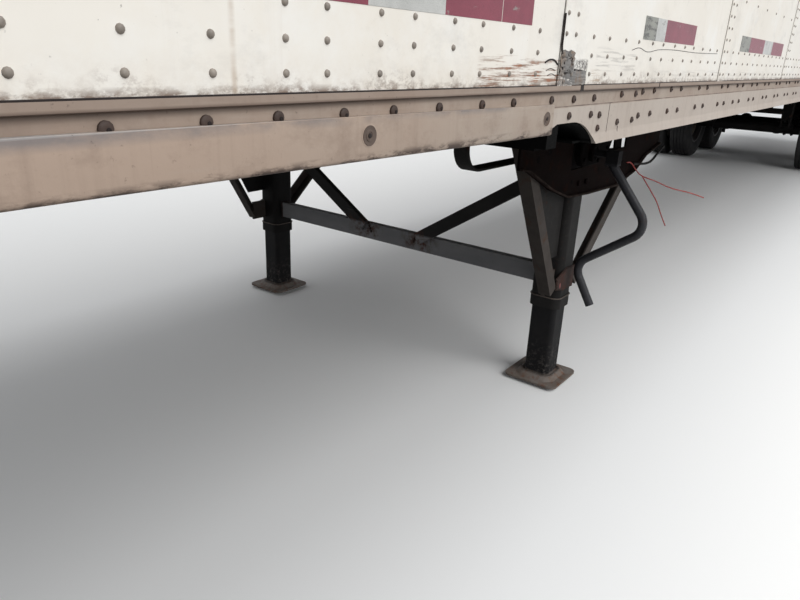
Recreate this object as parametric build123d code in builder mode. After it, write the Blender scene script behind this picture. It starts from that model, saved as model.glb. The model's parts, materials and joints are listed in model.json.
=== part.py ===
from build123d import *
import os

# Dry van semi trailer parked on its landing gear.
# Frame: +X to the front, +Y to the left side, +Z up, origin on the ground under the middle of the box.
# All sizes are millimetres.

# Overall body
body_length = 16154.0
body_width = 2591.0
body_height = 4115.0
nose_reach = 62.0  # gladhands ahead of the front wall
pin_setback = 42.0  # from the doors' outer face back to the hinge pins
hinge_knuckle_r = 12.0
half_width = body_width / 2
rear_reach = pin_setback + hinge_knuckle_r
front_x = (body_length - nose_reach + rear_reach) / 2
rear_x = front_x - body_length

# Side walls
wall_thickness = 10.0
strip_thickness = 2.5
strip_width = 66.0
panel_pitch = 1219.5
first_seam = 1237.5  # from the front face
rear_frame_depth = 110.0
panel_bottom = 1235.5
panel_face_y = half_width - strip_thickness
panel_back_y = panel_face_y - wall_thickness

# Bottom rail
rail_bottom = 1112.0
rail_front_bottom = 1156.0
rail_line = 1196.5
bead_bottom = 1226.0
rail_leg_top = 1345.0
rail_leg_thickness = 4.0
band_recess = 8.0
lower_recess = 6.0
lip_recess = 2.0
lip_top = 1135.0
rail_web = 5.0
rail_flange = 35.0
notch_start = 972.0  # ahead of the landing legs
notch_arch = 1105.0
notch_end = 1178.0
notch_front = 1205.0
notch_top = 1164.0

# Rail guard over the front part of the bottom rail
guard_bottom = 1156.0
guard_top = 1207.0
guard_proud = 12.0
guard_chamfer = 6.0
guard_end = 1276.0  # ahead of the landing legs

# Floor and roof
floor_thickness = 32.0
crossmember_depth = 102.0
crossmember_flange = 45.0
crossmember_web = 5.0
crossmember_pitch = 282.0
first_cross_ahead = 1001.0  # of the landing legs
end_beam_ahead = 1183.0  # closes the coupler section
roof_thickness = 4.0
bow_depth = 30.0
bow_width = 45.0
bow_pitch = 610.0
top_rail_height = 130.0
top_rail_flange = 60.0
top_rail_wall = 4.0
floor_bottom = rail_bottom + crossmember_depth
floor_top = floor_bottom + floor_thickness
rail_back_y = half_width - lower_recess - rail_web
floor_half_width = panel_back_y - rail_leg_thickness
roof_bottom = body_height - roof_thickness
top_rail_bottom = body_height - top_rail_height

# Front frame
front_post = 60.0
front_sill_height = 130.0
front_header = 110.0
corner_radius = 40.0
nose_post_width = 45.0
nose_post_depth = 20.0
nose_post_count = 5
wall_setback = 4.0  # of the front wall behind its frame

# Coupler and kingpin
kingpin_setback = 914.0
coupler_cross_count = 7
coupler_recess = 2.0
coupler_plate = 8.0
coupler_half_width = 1150.0
coupler_channel = 60.0
pin_collar_r = 36.5
pin_collar_height = 14.0
pin_neck_r = 25.4
pin_neck_height = 35.0
pin_head_r = 35.7
pin_head_height = 35.0
coupler_face_z = rail_front_bottom + coupler_recess
coupler_top = coupler_face_z + coupler_plate
pin_flange_r = 100.0
pin_flange = 8.0

# Rear frame and doors
post_width = 90.0
header_height = 130.0
sill_bottom = 1085.0
door_gap = 6.0
door_meeting_gap = 8.0
door_thickness = 32.0
door_proud = 6.0
hinge_pin_r = 6.0
hinge_bore_clearance = 0.1
hinge_knuckle_height = 60.0
hinge_lug_height = 22.0
hinge_lug_gap = 1.0
hinge_strap_length = 330.0
hinge_strap_height = 44.0
hinge_strap_thickness = 8.0
hinge_count = 4
hinge_outset = 2.0  # the pin stands this far outside the body's side
rod_r = 13.5
rod_standoff = 20.0
rod_from_centre = (260.0, 930.0)
rod_guide_height = 50.0
rod_guide_count = 4
keeper_depth = 30.0
keeper_gap = 6.0
cam_width = 44.0
handle_length = 480.0
handle_thickness = 12.0
handle_z = 1620.0
door_face_x = rear_x
post_face_x = rear_x + door_proud
sill_top = floor_top
header_bottom = body_height - header_height
opening_half_width = half_width - post_width
door_bottom = sill_top + door_gap
door_top = header_bottom - door_gap
door_side_y = opening_half_width - door_gap
hinge_x = door_face_x - pin_setback
hinge_y = half_width + hinge_outset
hinge_zs = [
    door_bottom + 170 + i * (door_top - door_bottom - 340) / (hinge_count - 1)
    for i in range(hinge_count)
]

# Underride guard
guard_bar = 102.0
guard_bar_top = 560.0
guard_bar_half = 1210.0
guard_strut_y = 450.0
guard_strut_width = 100.0
guard_strut_depth = 90.0
guard_brace_run = 520.0
bumper_block = 40.0

# Landing gear
leg_setback = 3670.0
leg_inset = 475.0
leg_tube = 125.0
leg_tube_wall = 7.5
leg_fit = 0.4
leg_corner = 28.0
collar_size = 131.0
collar_bottom = 335.0
collar_height = 45.0
foot_size = 234.0
foot_corner = 30.0
foot_plate = 8.0
foot_flat = 168.0
foot_edge_lift = 11.0
foot_cushion = 176.0
foot_cushion_corner = 50.0
foot_rise = 18.0
foot_rim = 7.0
foot_rim_gap = 8.0
foot_recess = 6.0
inner_tube_top = 760.0
wing_thickness = 8.0
wing_lower_edge = (  # x from the leg, z
    (533.0, 949.0),
    (475.0, 939.0),
    (286.0, 855.0),
    (144.0, 809.0),
    (-50.0, 797.0),
    (-361.0, 789.0),
    (-573.0, 829.0),
    (-696.0, 885.0),
    (-885.0, 924.0),
)
wing_notch = (  # x from the leg, z of the cut-out round the gear shaft
    (-430.0, 945.0),
    (-160.0, 940.0),
    (-80.0, 905.0),
    (124.0, 905.0),
)
wing_lip = 14.0
wing_lip_thickness = 6.0
tie_bottom = 422.0
tie_height = 76.0
tie_depth = 38.0
tie_wall = 7.0
vee_foot_offset = 160.0
vee_foot_z = 484.0
vee_top_z = 865.0
vee_width = 55.0
vee_depth = 28.0
vee_wall = 6.0
strut_spots = (  # x of the foot and of the top from the leg
    (120.0, 512.0),
    (-79.0, -855.0),
)
strut_foot_z = 430.0
strut_size = 50.0
strut_wall = 6.0
shoe_bottom = 412.0
shoe_height = 92.0
shoe_wall = 12.0
shoe_inset = 446.0  # from the body's side to the middle of the shoe plate
leg_rail_width = 80.0
leg_rail_thickness = 8.0
gear_z = 962.0
gear_housing_depth = 66.0
gear_housing_r = 66.0
gear_shaft_r = 12.5
cross_shaft_r = 14.0
crank_r = 16.5
crank_bend = 62.0
crank_route = (  # inward from the side, z
    (302.0, 932.0),
    (126.0, 713.0),
    (391.0, 524.0),
    (303.0, 371.0),
)
knuckle_inset = 320.0
knuckle_length = 46.0
knuckle_width = 40.0
knuckle_bottom = 925.0
strap_inset = 560.0
strap_width = 65.0
strap_thickness = 8.0
strap_front = 700.0
strap_z = 935.0
strap_bend = 75.0
leg_x = front_x - leg_setback
leg_y = half_width - leg_inset
leg_side = leg_tube / 2
leg_top = rail_bottom - leg_rail_thickness
shoe_y = half_width - shoe_inset
inner_tube = leg_tube - 2 * leg_tube_wall - 2 * leg_fit
inner_corner = leg_corner - leg_tube_wall - leg_fit
foot_top = foot_edge_lift + foot_plate
rim_size = inner_tube + 2 * foot_rim_gap + 2 * foot_rim
wing_y = leg_y + leg_side
leg_rail_y = wing_y - leg_rail_width / 2

# Tandem
axle_setbacks = (11851.0, 13096.0)
wheel_inset = 311.5  # from the body's side to the middle of the twin tyres
dual_half = 171.5
tyre_r = 505.0
tyre_width = 270.0
tyre_bead_r = 286.0
rim_half = tyre_width / 2
rim_inner_r = 270.0
drum_r = 212.0
hub_r = 105.0
hub_reach = 150.0
disc_out = 36.0  # the outer face of the wheel disc from the twin's middle
spindle_r = 45.0
spindle_fit = 0.1
spindle_reach = 100.0
axle_tube_r = 63.5
axle_end_gap = 6.0
frame_rail_y = 500.0
frame_rail_width = 90.0
frame_rail_depth = 150.0
frame_rail_wall = 8.0
frame_front = 11050.0  # from the front face
frame_rear = 14050.0
frame_cross_inset = 200.0
hanger_width = 110.0
hanger_drop = 400.0
hanger_foot = 60.0
hanger_flare = 70.0
hanger_overlap = 45.0
spring_side_gap = 0.5
radius_rod_r = 17.0
rod_eye_r = 27.0
rod_seat = 75.0
rod_seat_rise = 40.0
spring_width = 76.0
spring_thickness = 38.0
spring_span = 1010.0
spring_camber = 62.0
spring_seat = 16.0
rocker_half = 150.0  # the beam between the springs of the two axles
rocker_height = 74.0
rocker_tip = 26.0
rocker_arch = 18.0
rocker_arch_half = 60.0
rocker_pin_r = 22.0
rocker_gap = 6.0
chamber_r = 84.0
chamber_length = 150.0
chamber_y = 330.0
chamber_arm = 60.0
chamber_arm_height = 80.0
tank_r = 120.0
tank_length = 760.0
flap_width = 610.0
flap_thickness = 10.0
flap_bottom = 230.0
wheel_z = tyre_r
track_half = half_width - wheel_inset
axle_xs = [front_x - setback for setback in axle_setbacks]
tandem_x = sum(axle_xs) / 2
frame_rail_bottom = rail_bottom - frame_rail_depth
sides = ((1, "left"), (-1, "right"))
axle_names = ("front", "rear")
first_cross_x = leg_x + first_cross_ahead
end_beam_x = leg_x + end_beam_ahead
coupler_rear_x = end_beam_x + crossmember_flange / 2

os.makedirs("parts", exist_ok=True)


def save(part, name):
    part.label = name
    export_step(part, f"parts/{name}.step")


def nearest_cross(x):
    return first_cross_x - round((first_cross_x - x) / crossmember_pitch) * crossmember_pitch


def block(x, y, z, mode=Mode.ADD):
    with Locations(((x[0] + x[1]) / 2, (y[0] + y[1]) / 2, (z[0] + z[1]) / 2)):
        Box(abs(x[1] - x[0]), abs(y[1] - y[0]), abs(z[1] - z[0]), mode=mode)


def side_block(side, x, inset, z, mode=Mode.ADD):
    block(x, (side * (half_width - inset[0]), side * (half_width - inset[1])), z, mode)


def channel_bar(start, end, width, depth, wall, back):
    # Open channel from start to end, its web on the side that back points to.
    run = Vector(*end) - Vector(*start)
    across = run.cross(Vector(*back))
    plane = Plane(origin=start, x_dir=across, z_dir=run)
    with BuildSketch(plane) as section:
        Rectangle(width, depth)
        with Locations((0, wall)):
            Rectangle(width - 2 * wall, depth, mode=Mode.SUBTRACT)
    extrude(section.sketch, amount=run.length)


def angle_bar(start, end, size, wall, flat, edge):
    # L section from start to end: its outer flange faces flat, the other stands on the edge given by sign.
    run = Vector(*end) - Vector(*start)
    with BuildSketch(Plane(origin=start, x_dir=flat, z_dir=run)) as section:
        with Locations((-wall / 2, 0)):
            Rectangle(wall, size)
        with Locations((-size / 2, edge * (size - wall) / 2)):
            Rectangle(size, wall)
    extrude(section.sketch, amount=run.length)


def rod(start, end, radius):
    run = Vector(*end) - Vector(*start)
    with BuildSketch(Plane(origin=start, z_dir=run)) as section:
        Circle(radius)
    extrude(section.sketch, amount=run.length)


# Front frame and wall
front_inner_x = front_x - front_post
front_sill_bottom = rail_front_bottom

with BuildPart() as front_frame:
    with BuildSketch(Plane.XY.offset(front_sill_bottom)):
        with BuildLine():
            FilletPolyline(
                (front_inner_x, half_width),
                (front_x, half_width),
                (front_x, -half_width),
                (front_inner_x, -half_width),
                radius=corner_radius,
            )
            Line((front_inner_x, -half_width), (front_inner_x, half_width))
        make_face()
    extrude(amount=body_height - front_sill_bottom)
    block(
        (front_inner_x, front_x),
        (-(half_width - front_post), half_width - front_post),
        (front_sill_bottom + front_sill_height, body_height - front_header),
        mode=Mode.SUBTRACT,
    )
save(front_frame.part, "front_frame")

with BuildPart() as front_wall:
    wall_x = front_inner_x + nose_post_depth
    panel_half = half_width - front_post
    wall_z = (front_sill_bottom + front_sill_height, body_height - front_header)
    block((wall_x, front_x - wall_setback), (-panel_half, panel_half), wall_z)
    with BuildSketch(Plane.XY.offset(wall_z[0])):
        with Locations((front_inner_x + nose_post_depth / 2, 0)):
            with GridLocations(0, 2 * panel_half / (nose_post_count + 1), 1, nose_post_count):
                Rectangle(nose_post_depth, nose_post_width)
    extrude(amount=wall_z[1] - wall_z[0])
save(front_wall.part, "front_wall")

# Side walls with a splice strip over every panel joint
side_front_x = front_inner_x
side_rear_x = rear_x + rear_frame_depth
side_length = front_x - side_rear_x
seam_count = int((side_length - first_seam - strip_width) // panel_pitch) + 1
side_top = body_height - top_rail_flange
for side, word in sides:
    with BuildPart() as side_wall:
        side_block(
            side,
            (side_rear_x, side_front_x),
            (strip_thickness, strip_thickness + wall_thickness),
            (panel_bottom, side_top),
        )
        for seam in range(seam_count):
            seam_x = front_x - first_seam - seam * panel_pitch
            side_block(
                side,
                (seam_x - strip_width, seam_x),
                (0, strip_thickness),
                (panel_bottom, top_rail_bottom),
            )
    save(side_wall.part, f"side_wall_{word}")

# Bottom rails, cut up ahead of the landing gear
for side, word in sides:
    with BuildPart() as bottom_rail:
        with BuildSketch(Plane.YZ.offset(side_rear_x)):
            with BuildLine():
                Polyline(
                    *[
                        (side * (half_width - inset), z)
                        for inset, z in (
                            (strip_thickness + wall_thickness, rail_leg_top),
                            (strip_thickness + wall_thickness, panel_bottom),
                            (0, panel_bottom),
                            (0, bead_bottom),
                            (band_recess, bead_bottom - 2),
                            (band_recess, rail_line),
                            (lower_recess, rail_line - 2),
                            (lower_recess, lip_top),
                            (lip_recess, rail_bottom),
                            (rail_flange, rail_bottom),
                            (rail_flange, rail_bottom + rail_web),
                            (lower_recess + rail_web, rail_bottom + rail_web),
                            (lower_recess + rail_web, bead_bottom),
                            (half_width - floor_half_width, bead_bottom + 4),
                            (half_width - floor_half_width, rail_leg_top),
                        )
                    ],
                    close=True,
                )
            make_face()
        extrude(amount=side_front_x - side_rear_x)
        with BuildSketch(Plane.XZ):
            with BuildLine():
                start = (leg_x + notch_start, rail_bottom - 1)
                arch = (leg_x + notch_arch, notch_top)
                arc = TangentArc(arch, start, tangent=(-1, 0))
                line = Polyline(
                    arch,
                    (leg_x + notch_end, notch_top),
                    (leg_x + notch_front, rail_front_bottom),
                    (side_front_x, rail_front_bottom),
                    (side_front_x, rail_bottom - 1),
                    start,
                )
            make_face()
        extrude(amount=half_width + 1, both=True, mode=Mode.SUBTRACT)
    save(bottom_rail.part, f"bottom_rail_{word}")

# Rail guards
for side, word in sides:
    with BuildPart() as rail_guard:
        with BuildSketch(Plane.YZ.offset(leg_x + guard_end)):
            with BuildLine():
                Polyline(
                    *[
                        (side * (half_width - inset), z)
                        for inset, z in (
                            (lower_recess, guard_bottom),
                            (guard_chamfer - guard_proud, guard_bottom),
                            (-guard_proud, guard_bottom + guard_chamfer),
                            (-guard_proud, guard_top - guard_chamfer),
                            (guard_chamfer - guard_proud, guard_top),
                            (lower_recess, guard_top),
                        )
                    ],
                    close=True,
                )
            make_face()
        extrude(amount=front_inner_x - leg_x - guard_end)
    save(rail_guard.part, f"rail_guard_{word}")

# Top rails
for side, word in sides:
    with BuildPart() as top_rail:
        with BuildSketch(Plane.YZ.offset(side_rear_x)):
            with BuildLine():
                back = strip_thickness + wall_thickness
                Polyline(
                    *[
                        (side * (half_width - inset), z)
                        for inset, z in (
                            (strip_thickness, top_rail_bottom),
                            (0, top_rail_bottom),
                            (0, body_height - 14),
                            (10, roof_bottom),
                            (top_rail_flange, roof_bottom),
                            (top_rail_flange, roof_bottom - top_rail_wall),
                            (back, roof_bottom - top_rail_wall),
                            (back, side_top),
                            (strip_thickness, side_top),
                        )
                    ],
                    close=True,
                )
            make_face()
        extrude(amount=side_front_x - side_rear_x)
    save(top_rail.part, f"top_rail_{word}")

# Roof sheet and bows
with BuildPart() as roof:
    roof_half = half_width - 10
    block((side_rear_x, side_front_x), (-roof_half, roof_half), (roof_bottom, body_height))
save(roof.part, "roof")

bow_half = half_width - top_rail_flange
bow_count = int((side_front_x - side_rear_x - bow_width) // bow_pitch)
with BuildPart() as roof_bows:
    with BuildSketch(Plane.XZ.offset(-bow_half)):
        with Locations(((side_front_x + side_rear_x) / 2, roof_bottom - bow_depth / 2)):
            with GridLocations(bow_pitch, 0, bow_count, 1):
                Rectangle(bow_width, bow_depth)
    extrude(amount=2 * bow_half)
save(roof_bows.part, "roof_bows")

# Floor and crossmembers
with BuildPart() as floor:
    block(
        (side_rear_x, front_inner_x),
        (-floor_half_width, floor_half_width),
        (floor_bottom, floor_top),
    )
save(floor.part, "floor")

cross_span = first_cross_x - side_rear_x - crossmember_flange
cross_count = int(cross_span // crossmember_pitch) + 1
with BuildPart() as crossmembers:
    with BuildSketch(Plane.XZ.offset(-rail_back_y)):
        middle_x = first_cross_x - (cross_count - 1) * crossmember_pitch / 2
        with Locations((middle_x, rail_bottom + crossmember_depth / 2)):
            with GridLocations(crossmember_pitch, 0, cross_count, 1):
                Rectangle(crossmember_flange, crossmember_depth)
        with Locations((middle_x + crossmember_web, rail_bottom + crossmember_depth / 2)):
            with GridLocations(crossmember_pitch, 0, cross_count, 1):
                Rectangle(
                    crossmember_flange,
                    crossmember_depth - 2 * crossmember_web,
                    mode=Mode.SUBTRACT,
                )
        with Locations((end_beam_x, rail_bottom + crossmember_depth / 2)):
            Rectangle(crossmember_flange, crossmember_depth)
    extrude(amount=2 * rail_back_y)
    for side, word in sides:
        side_block(
            side,
            (side_rear_x, coupler_rear_x),
            (lower_recess, rail_flange),
            (rail_bottom, rail_bottom + rail_web),
            mode=Mode.SUBTRACT,
        )
save(crossmembers.part, "crossmembers")

# Upper coupler with the kingpin
with BuildPart() as upper_coupler:
    with BuildSketch(Plane.XY.offset(coupler_face_z)):
        with Locations(((front_inner_x + coupler_rear_x) / 2, 0)):
            Rectangle(front_inner_x - coupler_rear_x, 2 * coupler_half_width)
    extrude(amount=coupler_plate)
    with BuildSketch(Plane.XY.offset(coupler_top)):
        with Locations(((front_inner_x + coupler_rear_x) / 2, 0)):
            coupler_pitch = (front_inner_x - coupler_rear_x - coupler_channel) / (coupler_cross_count - 1)
            with GridLocations(coupler_pitch, 0, coupler_cross_count, 1):
                Rectangle(coupler_channel, 2 * coupler_half_width)
    extrude(amount=floor_bottom - coupler_top)

with BuildPart() as kingpin:
    with BuildSketch(Plane.XZ):
        with BuildLine():
            neck_top = coupler_face_z - pin_collar_height
            neck_bottom = neck_top - pin_neck_height
            head_bottom = neck_bottom - pin_head_height
            Polyline(
                (0, coupler_top + pin_flange),
                (pin_flange_r, coupler_top + pin_flange),
                (pin_flange_r, coupler_top),
                (pin_neck_r, coupler_top),
                (pin_neck_r, coupler_face_z),
                (pin_collar_r, coupler_face_z),
                (pin_collar_r, neck_top),
                (pin_neck_r, neck_top),
                (pin_neck_r, neck_bottom),
                (pin_head_r, neck_bottom),
                (pin_head_r, head_bottom),
                (0, head_bottom),
                close=True,
            )
        make_face()
    revolve(axis=Axis.Z)
    upper_coupler_part = upper_coupler.part + Pos(front_x - kingpin_setback, 0, 0) * kingpin.part
save(upper_coupler_part, "upper_coupler")

# Rear frame
with BuildPart() as rear_frame:
    with BuildSketch(Plane.YZ.offset(post_face_x)):
        with Locations((0, (sill_bottom + body_height) / 2)):
            Rectangle(body_width, body_height - sill_bottom)
        with Locations((0, (sill_top + header_bottom) / 2)):
            Rectangle(2 * opening_half_width, header_bottom - sill_top, mode=Mode.SUBTRACT)
    extrude(amount=side_rear_x - post_face_x)
save(rear_frame.part, "rear_frame")

# Hinge lugs, pins and the keepers of the lock rods
with BuildPart() as door_fittings:
    for side, word in sides:
        for z in hinge_zs:
            for way in (1, -1):
                low = z + way * (hinge_knuckle_height / 2 + hinge_lug_gap)
                high = low + way * hinge_lug_height
                with BuildSketch(Plane.XY.offset(min(low, high))):
                    with Locations((hinge_x, side * hinge_y)):
                        Circle(hinge_knuckle_r)
                    with Locations(((hinge_x + post_face_x) / 2, side * (hinge_y - hinge_knuckle_r))):
                        Rectangle(post_face_x - hinge_x, 2 * hinge_knuckle_r)
                extrude(amount=hinge_lug_height)
            with BuildSketch(Plane.XY.offset(z - hinge_knuckle_height / 2 - hinge_lug_gap)):
                with Locations((hinge_x, side * hinge_y)):
                    Circle(hinge_pin_r)
            extrude(amount=hinge_knuckle_height + 2 * hinge_lug_gap)
        for rod_y in rod_from_centre:
            for low, high in (
                (header_bottom + 20, header_bottom + 70),
                (sill_top - 70, sill_top - 20),
            ):
                for way in (1, -1):
                    ear = side * rod_y + way * (cam_width / 2 + keeper_gap + 4)
                    block((post_face_x - keeper_depth, post_face_x), (ear - 4, ear + 4), (low, high))
save(door_fittings.part, "door_fittings")

# Doors
for side, word in sides:
    with BuildPart() as door:
        block(
            (door_face_x, door_face_x + door_thickness),
            (side * door_meeting_gap / 2, side * door_side_y),
            (door_bottom, door_top),
        )
    save(door.part, f"door_{word}")

    with BuildPart() as door_gear:
        for z in hinge_zs:
            block(
                (door_face_x - hinge_strap_thickness, door_face_x),
                (side * (hinge_y - hinge_strap_length), side * hinge_y),
                (z - hinge_strap_height / 2, z + hinge_strap_height / 2),
            )
            block(
                (hinge_x, door_face_x),
                (side * (hinge_y - hinge_knuckle_r), side * hinge_y),
                (z - hinge_strap_height / 2, z + hinge_strap_height / 2),
            )
            with BuildSketch(Plane.XY.offset(z - hinge_knuckle_height / 2)):
                with Locations((hinge_x, side * hinge_y)):
                    Circle(hinge_knuckle_r)
            extrude(amount=hinge_knuckle_height)
            with BuildSketch(Plane.XY.offset(z - hinge_knuckle_height / 2)):
                with Locations((hinge_x, side * hinge_y)):
                    Circle(hinge_pin_r + hinge_bore_clearance)
            extrude(amount=hinge_knuckle_height, mode=Mode.SUBTRACT)
        rod_x = door_face_x - rod_standoff
        for rod_y in rod_from_centre:
            with BuildSketch(Plane.XY.offset(sill_top - 60)):
                with Locations((rod_x, side * rod_y)):
                    Circle(rod_r)
            extrude(amount=header_bottom - sill_top + 120)
            for low in (sill_top - 64, header_bottom + 26):
                block(
                    (rod_x - rod_r, rod_x + rod_r),
                    (side * rod_y - cam_width / 2, side * rod_y + cam_width / 2),
                    (low, low + 38),
                )
            for i in range(rod_guide_count):
                z = door_bottom + 120 + i * (door_top - door_bottom - 240) / (rod_guide_count - 1)
                block(
                    (rod_x - rod_r - 4, door_face_x),
                    (side * rod_y - 26, side * rod_y + 26),
                    (z - rod_guide_height / 2, z + rod_guide_height / 2),
                )
        handle_y = side * rod_from_centre[0]
        block(
            (rod_x - handle_thickness / 2, rod_x + handle_thickness / 2),
            (handle_y - side * rod_r, handle_y + side * handle_length),
            (handle_z - 16, handle_z + 16),
        )
        block(
            (rod_x + handle_thickness / 2, door_face_x),
            (handle_y + side * (handle_length - 60), handle_y + side * (handle_length - 20)),
            (handle_z - 30, handle_z + 30),
        )
    save(door_gear.part, f"door_gear_{word}")

# Underride guard
with BuildPart() as underride_guard:
    bar_x = (rear_x + 20, rear_x + 20 + guard_bar)
    block(bar_x, (-guard_bar_half, guard_bar_half), (guard_bar_top - guard_bar, guard_bar_top))
    for side, word in sides:
        y = (
            side * (guard_strut_y - guard_strut_width / 2),
            side * (guard_strut_y + guard_strut_width / 2),
        )
        block((bar_x[0], bar_x[0] + guard_strut_depth), y, (guard_bar_top, sill_bottom))
        with BuildSketch(Plane.XZ.offset(-side * guard_strut_y)):
            with BuildLine():
                Polyline(
                    (bar_x[0] + guard_strut_depth, guard_bar_top + 60),
                    (bar_x[0] + guard_strut_depth, guard_bar_top + 160),
                    (bar_x[0] + guard_brace_run, rail_bottom),
                    (bar_x[0] + guard_brace_run + 90, rail_bottom),
                    close=True,
                )
            make_face()
        extrude(amount=guard_strut_width / 4, both=True)
save(underride_guard.part, "underride_guard")

with BuildPart() as dock_bumpers:
    for side, word in sides:
        side_block(side, (post_face_x - bumper_block, post_face_x), (30, 150), (sill_bottom + 5, sill_top - 30))
save(dock_bumpers.part, "dock_bumpers")

# Landing gear
for side, word in sides:
    with BuildPart() as leg:
        with BuildSketch(Plane.XY.offset(collar_bottom)):
            with Locations((leg_x, side * leg_y)):
                RectangleRounded(collar_size, collar_size, leg_corner + (collar_size - leg_tube) / 2)
        extrude(amount=collar_height)
        with BuildSketch(Plane.XY.offset(collar_bottom)):
            with Locations((leg_x, side * leg_y)):
                RectangleRounded(leg_tube, leg_tube, leg_corner)
        extrude(amount=leg_top - collar_bottom)
        with BuildSketch(Plane.XY.offset(collar_bottom)):
            with Locations((leg_x, side * leg_y)):
                hole = inner_tube + 2 * leg_fit
                RectangleRounded(hole, hole, inner_corner + leg_fit)
        extrude(amount=inner_tube_top + 40 - collar_bottom, mode=Mode.SUBTRACT)
        with BuildSketch(Plane.XZ.offset(-side * (leg_y - leg_side))):
            with Locations((leg_x, gear_z)):
                Circle(gear_housing_r)
        extrude(amount=side * gear_housing_depth)
    save(leg.part, f"landing_leg_{word}")

    with BuildPart() as foot:
        with BuildSketch(Plane.XY):
            with Locations((leg_x, side * leg_y)):
                RectangleRounded(foot_flat, foot_flat, foot_corner)
        with BuildSketch(Plane.XY.offset(foot_edge_lift)):
            with Locations((leg_x, side * leg_y)):
                RectangleRounded(foot_size, foot_size, foot_corner)
        loft()
        with BuildSketch(Plane.XY.offset(foot_edge_lift)):
            with Locations((leg_x, side * leg_y)):
                RectangleRounded(foot_size, foot_size, foot_corner)
        extrude(amount=foot_plate)
        with BuildSketch(Plane.XY.offset(foot_top)):
            with Locations((leg_x, side * leg_y)):
                RectangleRounded(foot_cushion, foot_cushion, foot_cushion_corner)
        with BuildSketch(Plane.XY.offset(foot_top + foot_rise)):
            with Locations((leg_x, side * leg_y)):
                RectangleRounded(rim_size, rim_size, inner_corner + foot_rim_gap + foot_rim)
        loft()
        with BuildSketch(Plane.XY.offset(foot_top + foot_rise - foot_recess)):
            with Locations((leg_x, side * leg_y)):
                hollow = inner_tube + 2 * foot_rim_gap
                RectangleRounded(hollow, hollow, inner_corner + foot_rim_gap)
        extrude(amount=foot_recess, mode=Mode.SUBTRACT)
        with BuildSketch(Plane.XY.offset(foot_top)):
            with Locations((leg_x, side * leg_y)):
                RectangleRounded(inner_tube, inner_tube, inner_corner)
        extrude(amount=inner_tube_top - foot_top)
    save(foot.part, f"leg_foot_{word}")

with BuildPart() as wing_plates:
    for side, word in sides:
        with BuildSketch(Plane.XZ.offset(-side * wing_y)):
            with BuildLine():
                Polyline(
                    (leg_x + wing_lower_edge[0][0], rail_bottom),
                    *[(leg_x + x, z) for x, z in wing_lower_edge],
                    (leg_x + wing_lower_edge[-1][0], rail_bottom),
                    (leg_x + wing_notch[0][0], rail_bottom),
                    *[(leg_x + x, z) for x, z in wing_notch],
                    (leg_x + wing_notch[-1][0], rail_bottom),
                    close=True,
                )
            make_face()
        extrude(amount=-side * wing_thickness)
        with BuildSketch(Plane.XZ.offset(-side * (wing_y + wing_thickness))):
            with BuildLine():
                Polyline(*[(leg_x + x, z + wing_lip_thickness / 2) for x, z in wing_lower_edge])
            trace(line_width=wing_lip_thickness)
        extrude(amount=-side * wing_lip)
save(wing_plates.part, "wing_plates")

with BuildPart() as leg_braces:
    inner_y = leg_y - leg_side
    tie_x = leg_x + tie_depth / 2
    channel_bar(
        (leg_x, -inner_y, tie_bottom + tie_height / 2),
        (leg_x, inner_y, tie_bottom + tie_height / 2),
        tie_height,
        tie_depth,
        tie_wall,
        (1, 0, 0),
    )
    for side, word in sides:
        channel_bar(
            (tie_x + vee_depth / 2, side * vee_foot_offset, vee_foot_z),
            (tie_x + vee_depth / 2, side * inner_y, vee_top_z),
            vee_width,
            vee_depth,
            vee_wall,
            (1, 0, 0),
        )
        block(
            (leg_x - leg_tube, leg_x + leg_tube),
            (side * inner_y, side * (inner_y + leg_tube)),
            (tie_bottom, leg_top),
            mode=Mode.SUBTRACT,
        )
save(leg_braces.part, "leg_braces")

with BuildPart() as leg_struts:
    for side, word in sides:
        for foot_x, top_x in strut_spots:
            way = 1 if foot_x > 0 else -1
            lean = (top_x - foot_x) / (leg_top - strut_foot_z)
            angle_bar(
                (leg_x + foot_x, side * wing_y, strut_foot_z),
                (leg_x + top_x + lean * strut_size, side * wing_y, leg_top + strut_size),
                strut_size,
                strut_wall,
                (0, side, 0),
                -side * way,
            )
            block(
                (leg_x + way * leg_side, leg_x + foot_x + way * strut_size / 2),
                (side * (shoe_y - shoe_wall / 2), side * (shoe_y + shoe_wall / 2)),
                (shoe_bottom, shoe_bottom + shoe_height),
            )
        block(
            (leg_x - leg_side, leg_x + leg_side),
            (side * (leg_y - leg_side), side * (leg_y + leg_side)),
            (collar_bottom, leg_top),
            mode=Mode.SUBTRACT,
        )
    strut_span = [leg_x + top_x for foot_x, top_x in strut_spots]
    block(
        (min(strut_span) - crossmember_pitch, max(strut_span) + crossmember_pitch),
        (-half_width, half_width),
        (leg_top, leg_top + 3 * strut_size),
        mode=Mode.SUBTRACT,
    )
    for side, word in sides:
        block(
            (
                nearest_cross(min(strut_span)) - leg_rail_width,
                nearest_cross(max(strut_span)) + leg_rail_width,
            ),
            (side * (leg_rail_y - leg_rail_width / 2), side * (leg_rail_y + leg_rail_width / 2)),
            (leg_top, rail_bottom),
        )
save(leg_struts.part, "leg_struts")

with BuildPart() as cross_shaft:
    shaft_half = leg_y - leg_side - gear_housing_depth
    with BuildSketch(Plane.XZ.offset(-shaft_half)):
        with Locations((leg_x, gear_z)):
            Circle(cross_shaft_r)
    extrude(amount=2 * shaft_half)

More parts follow.
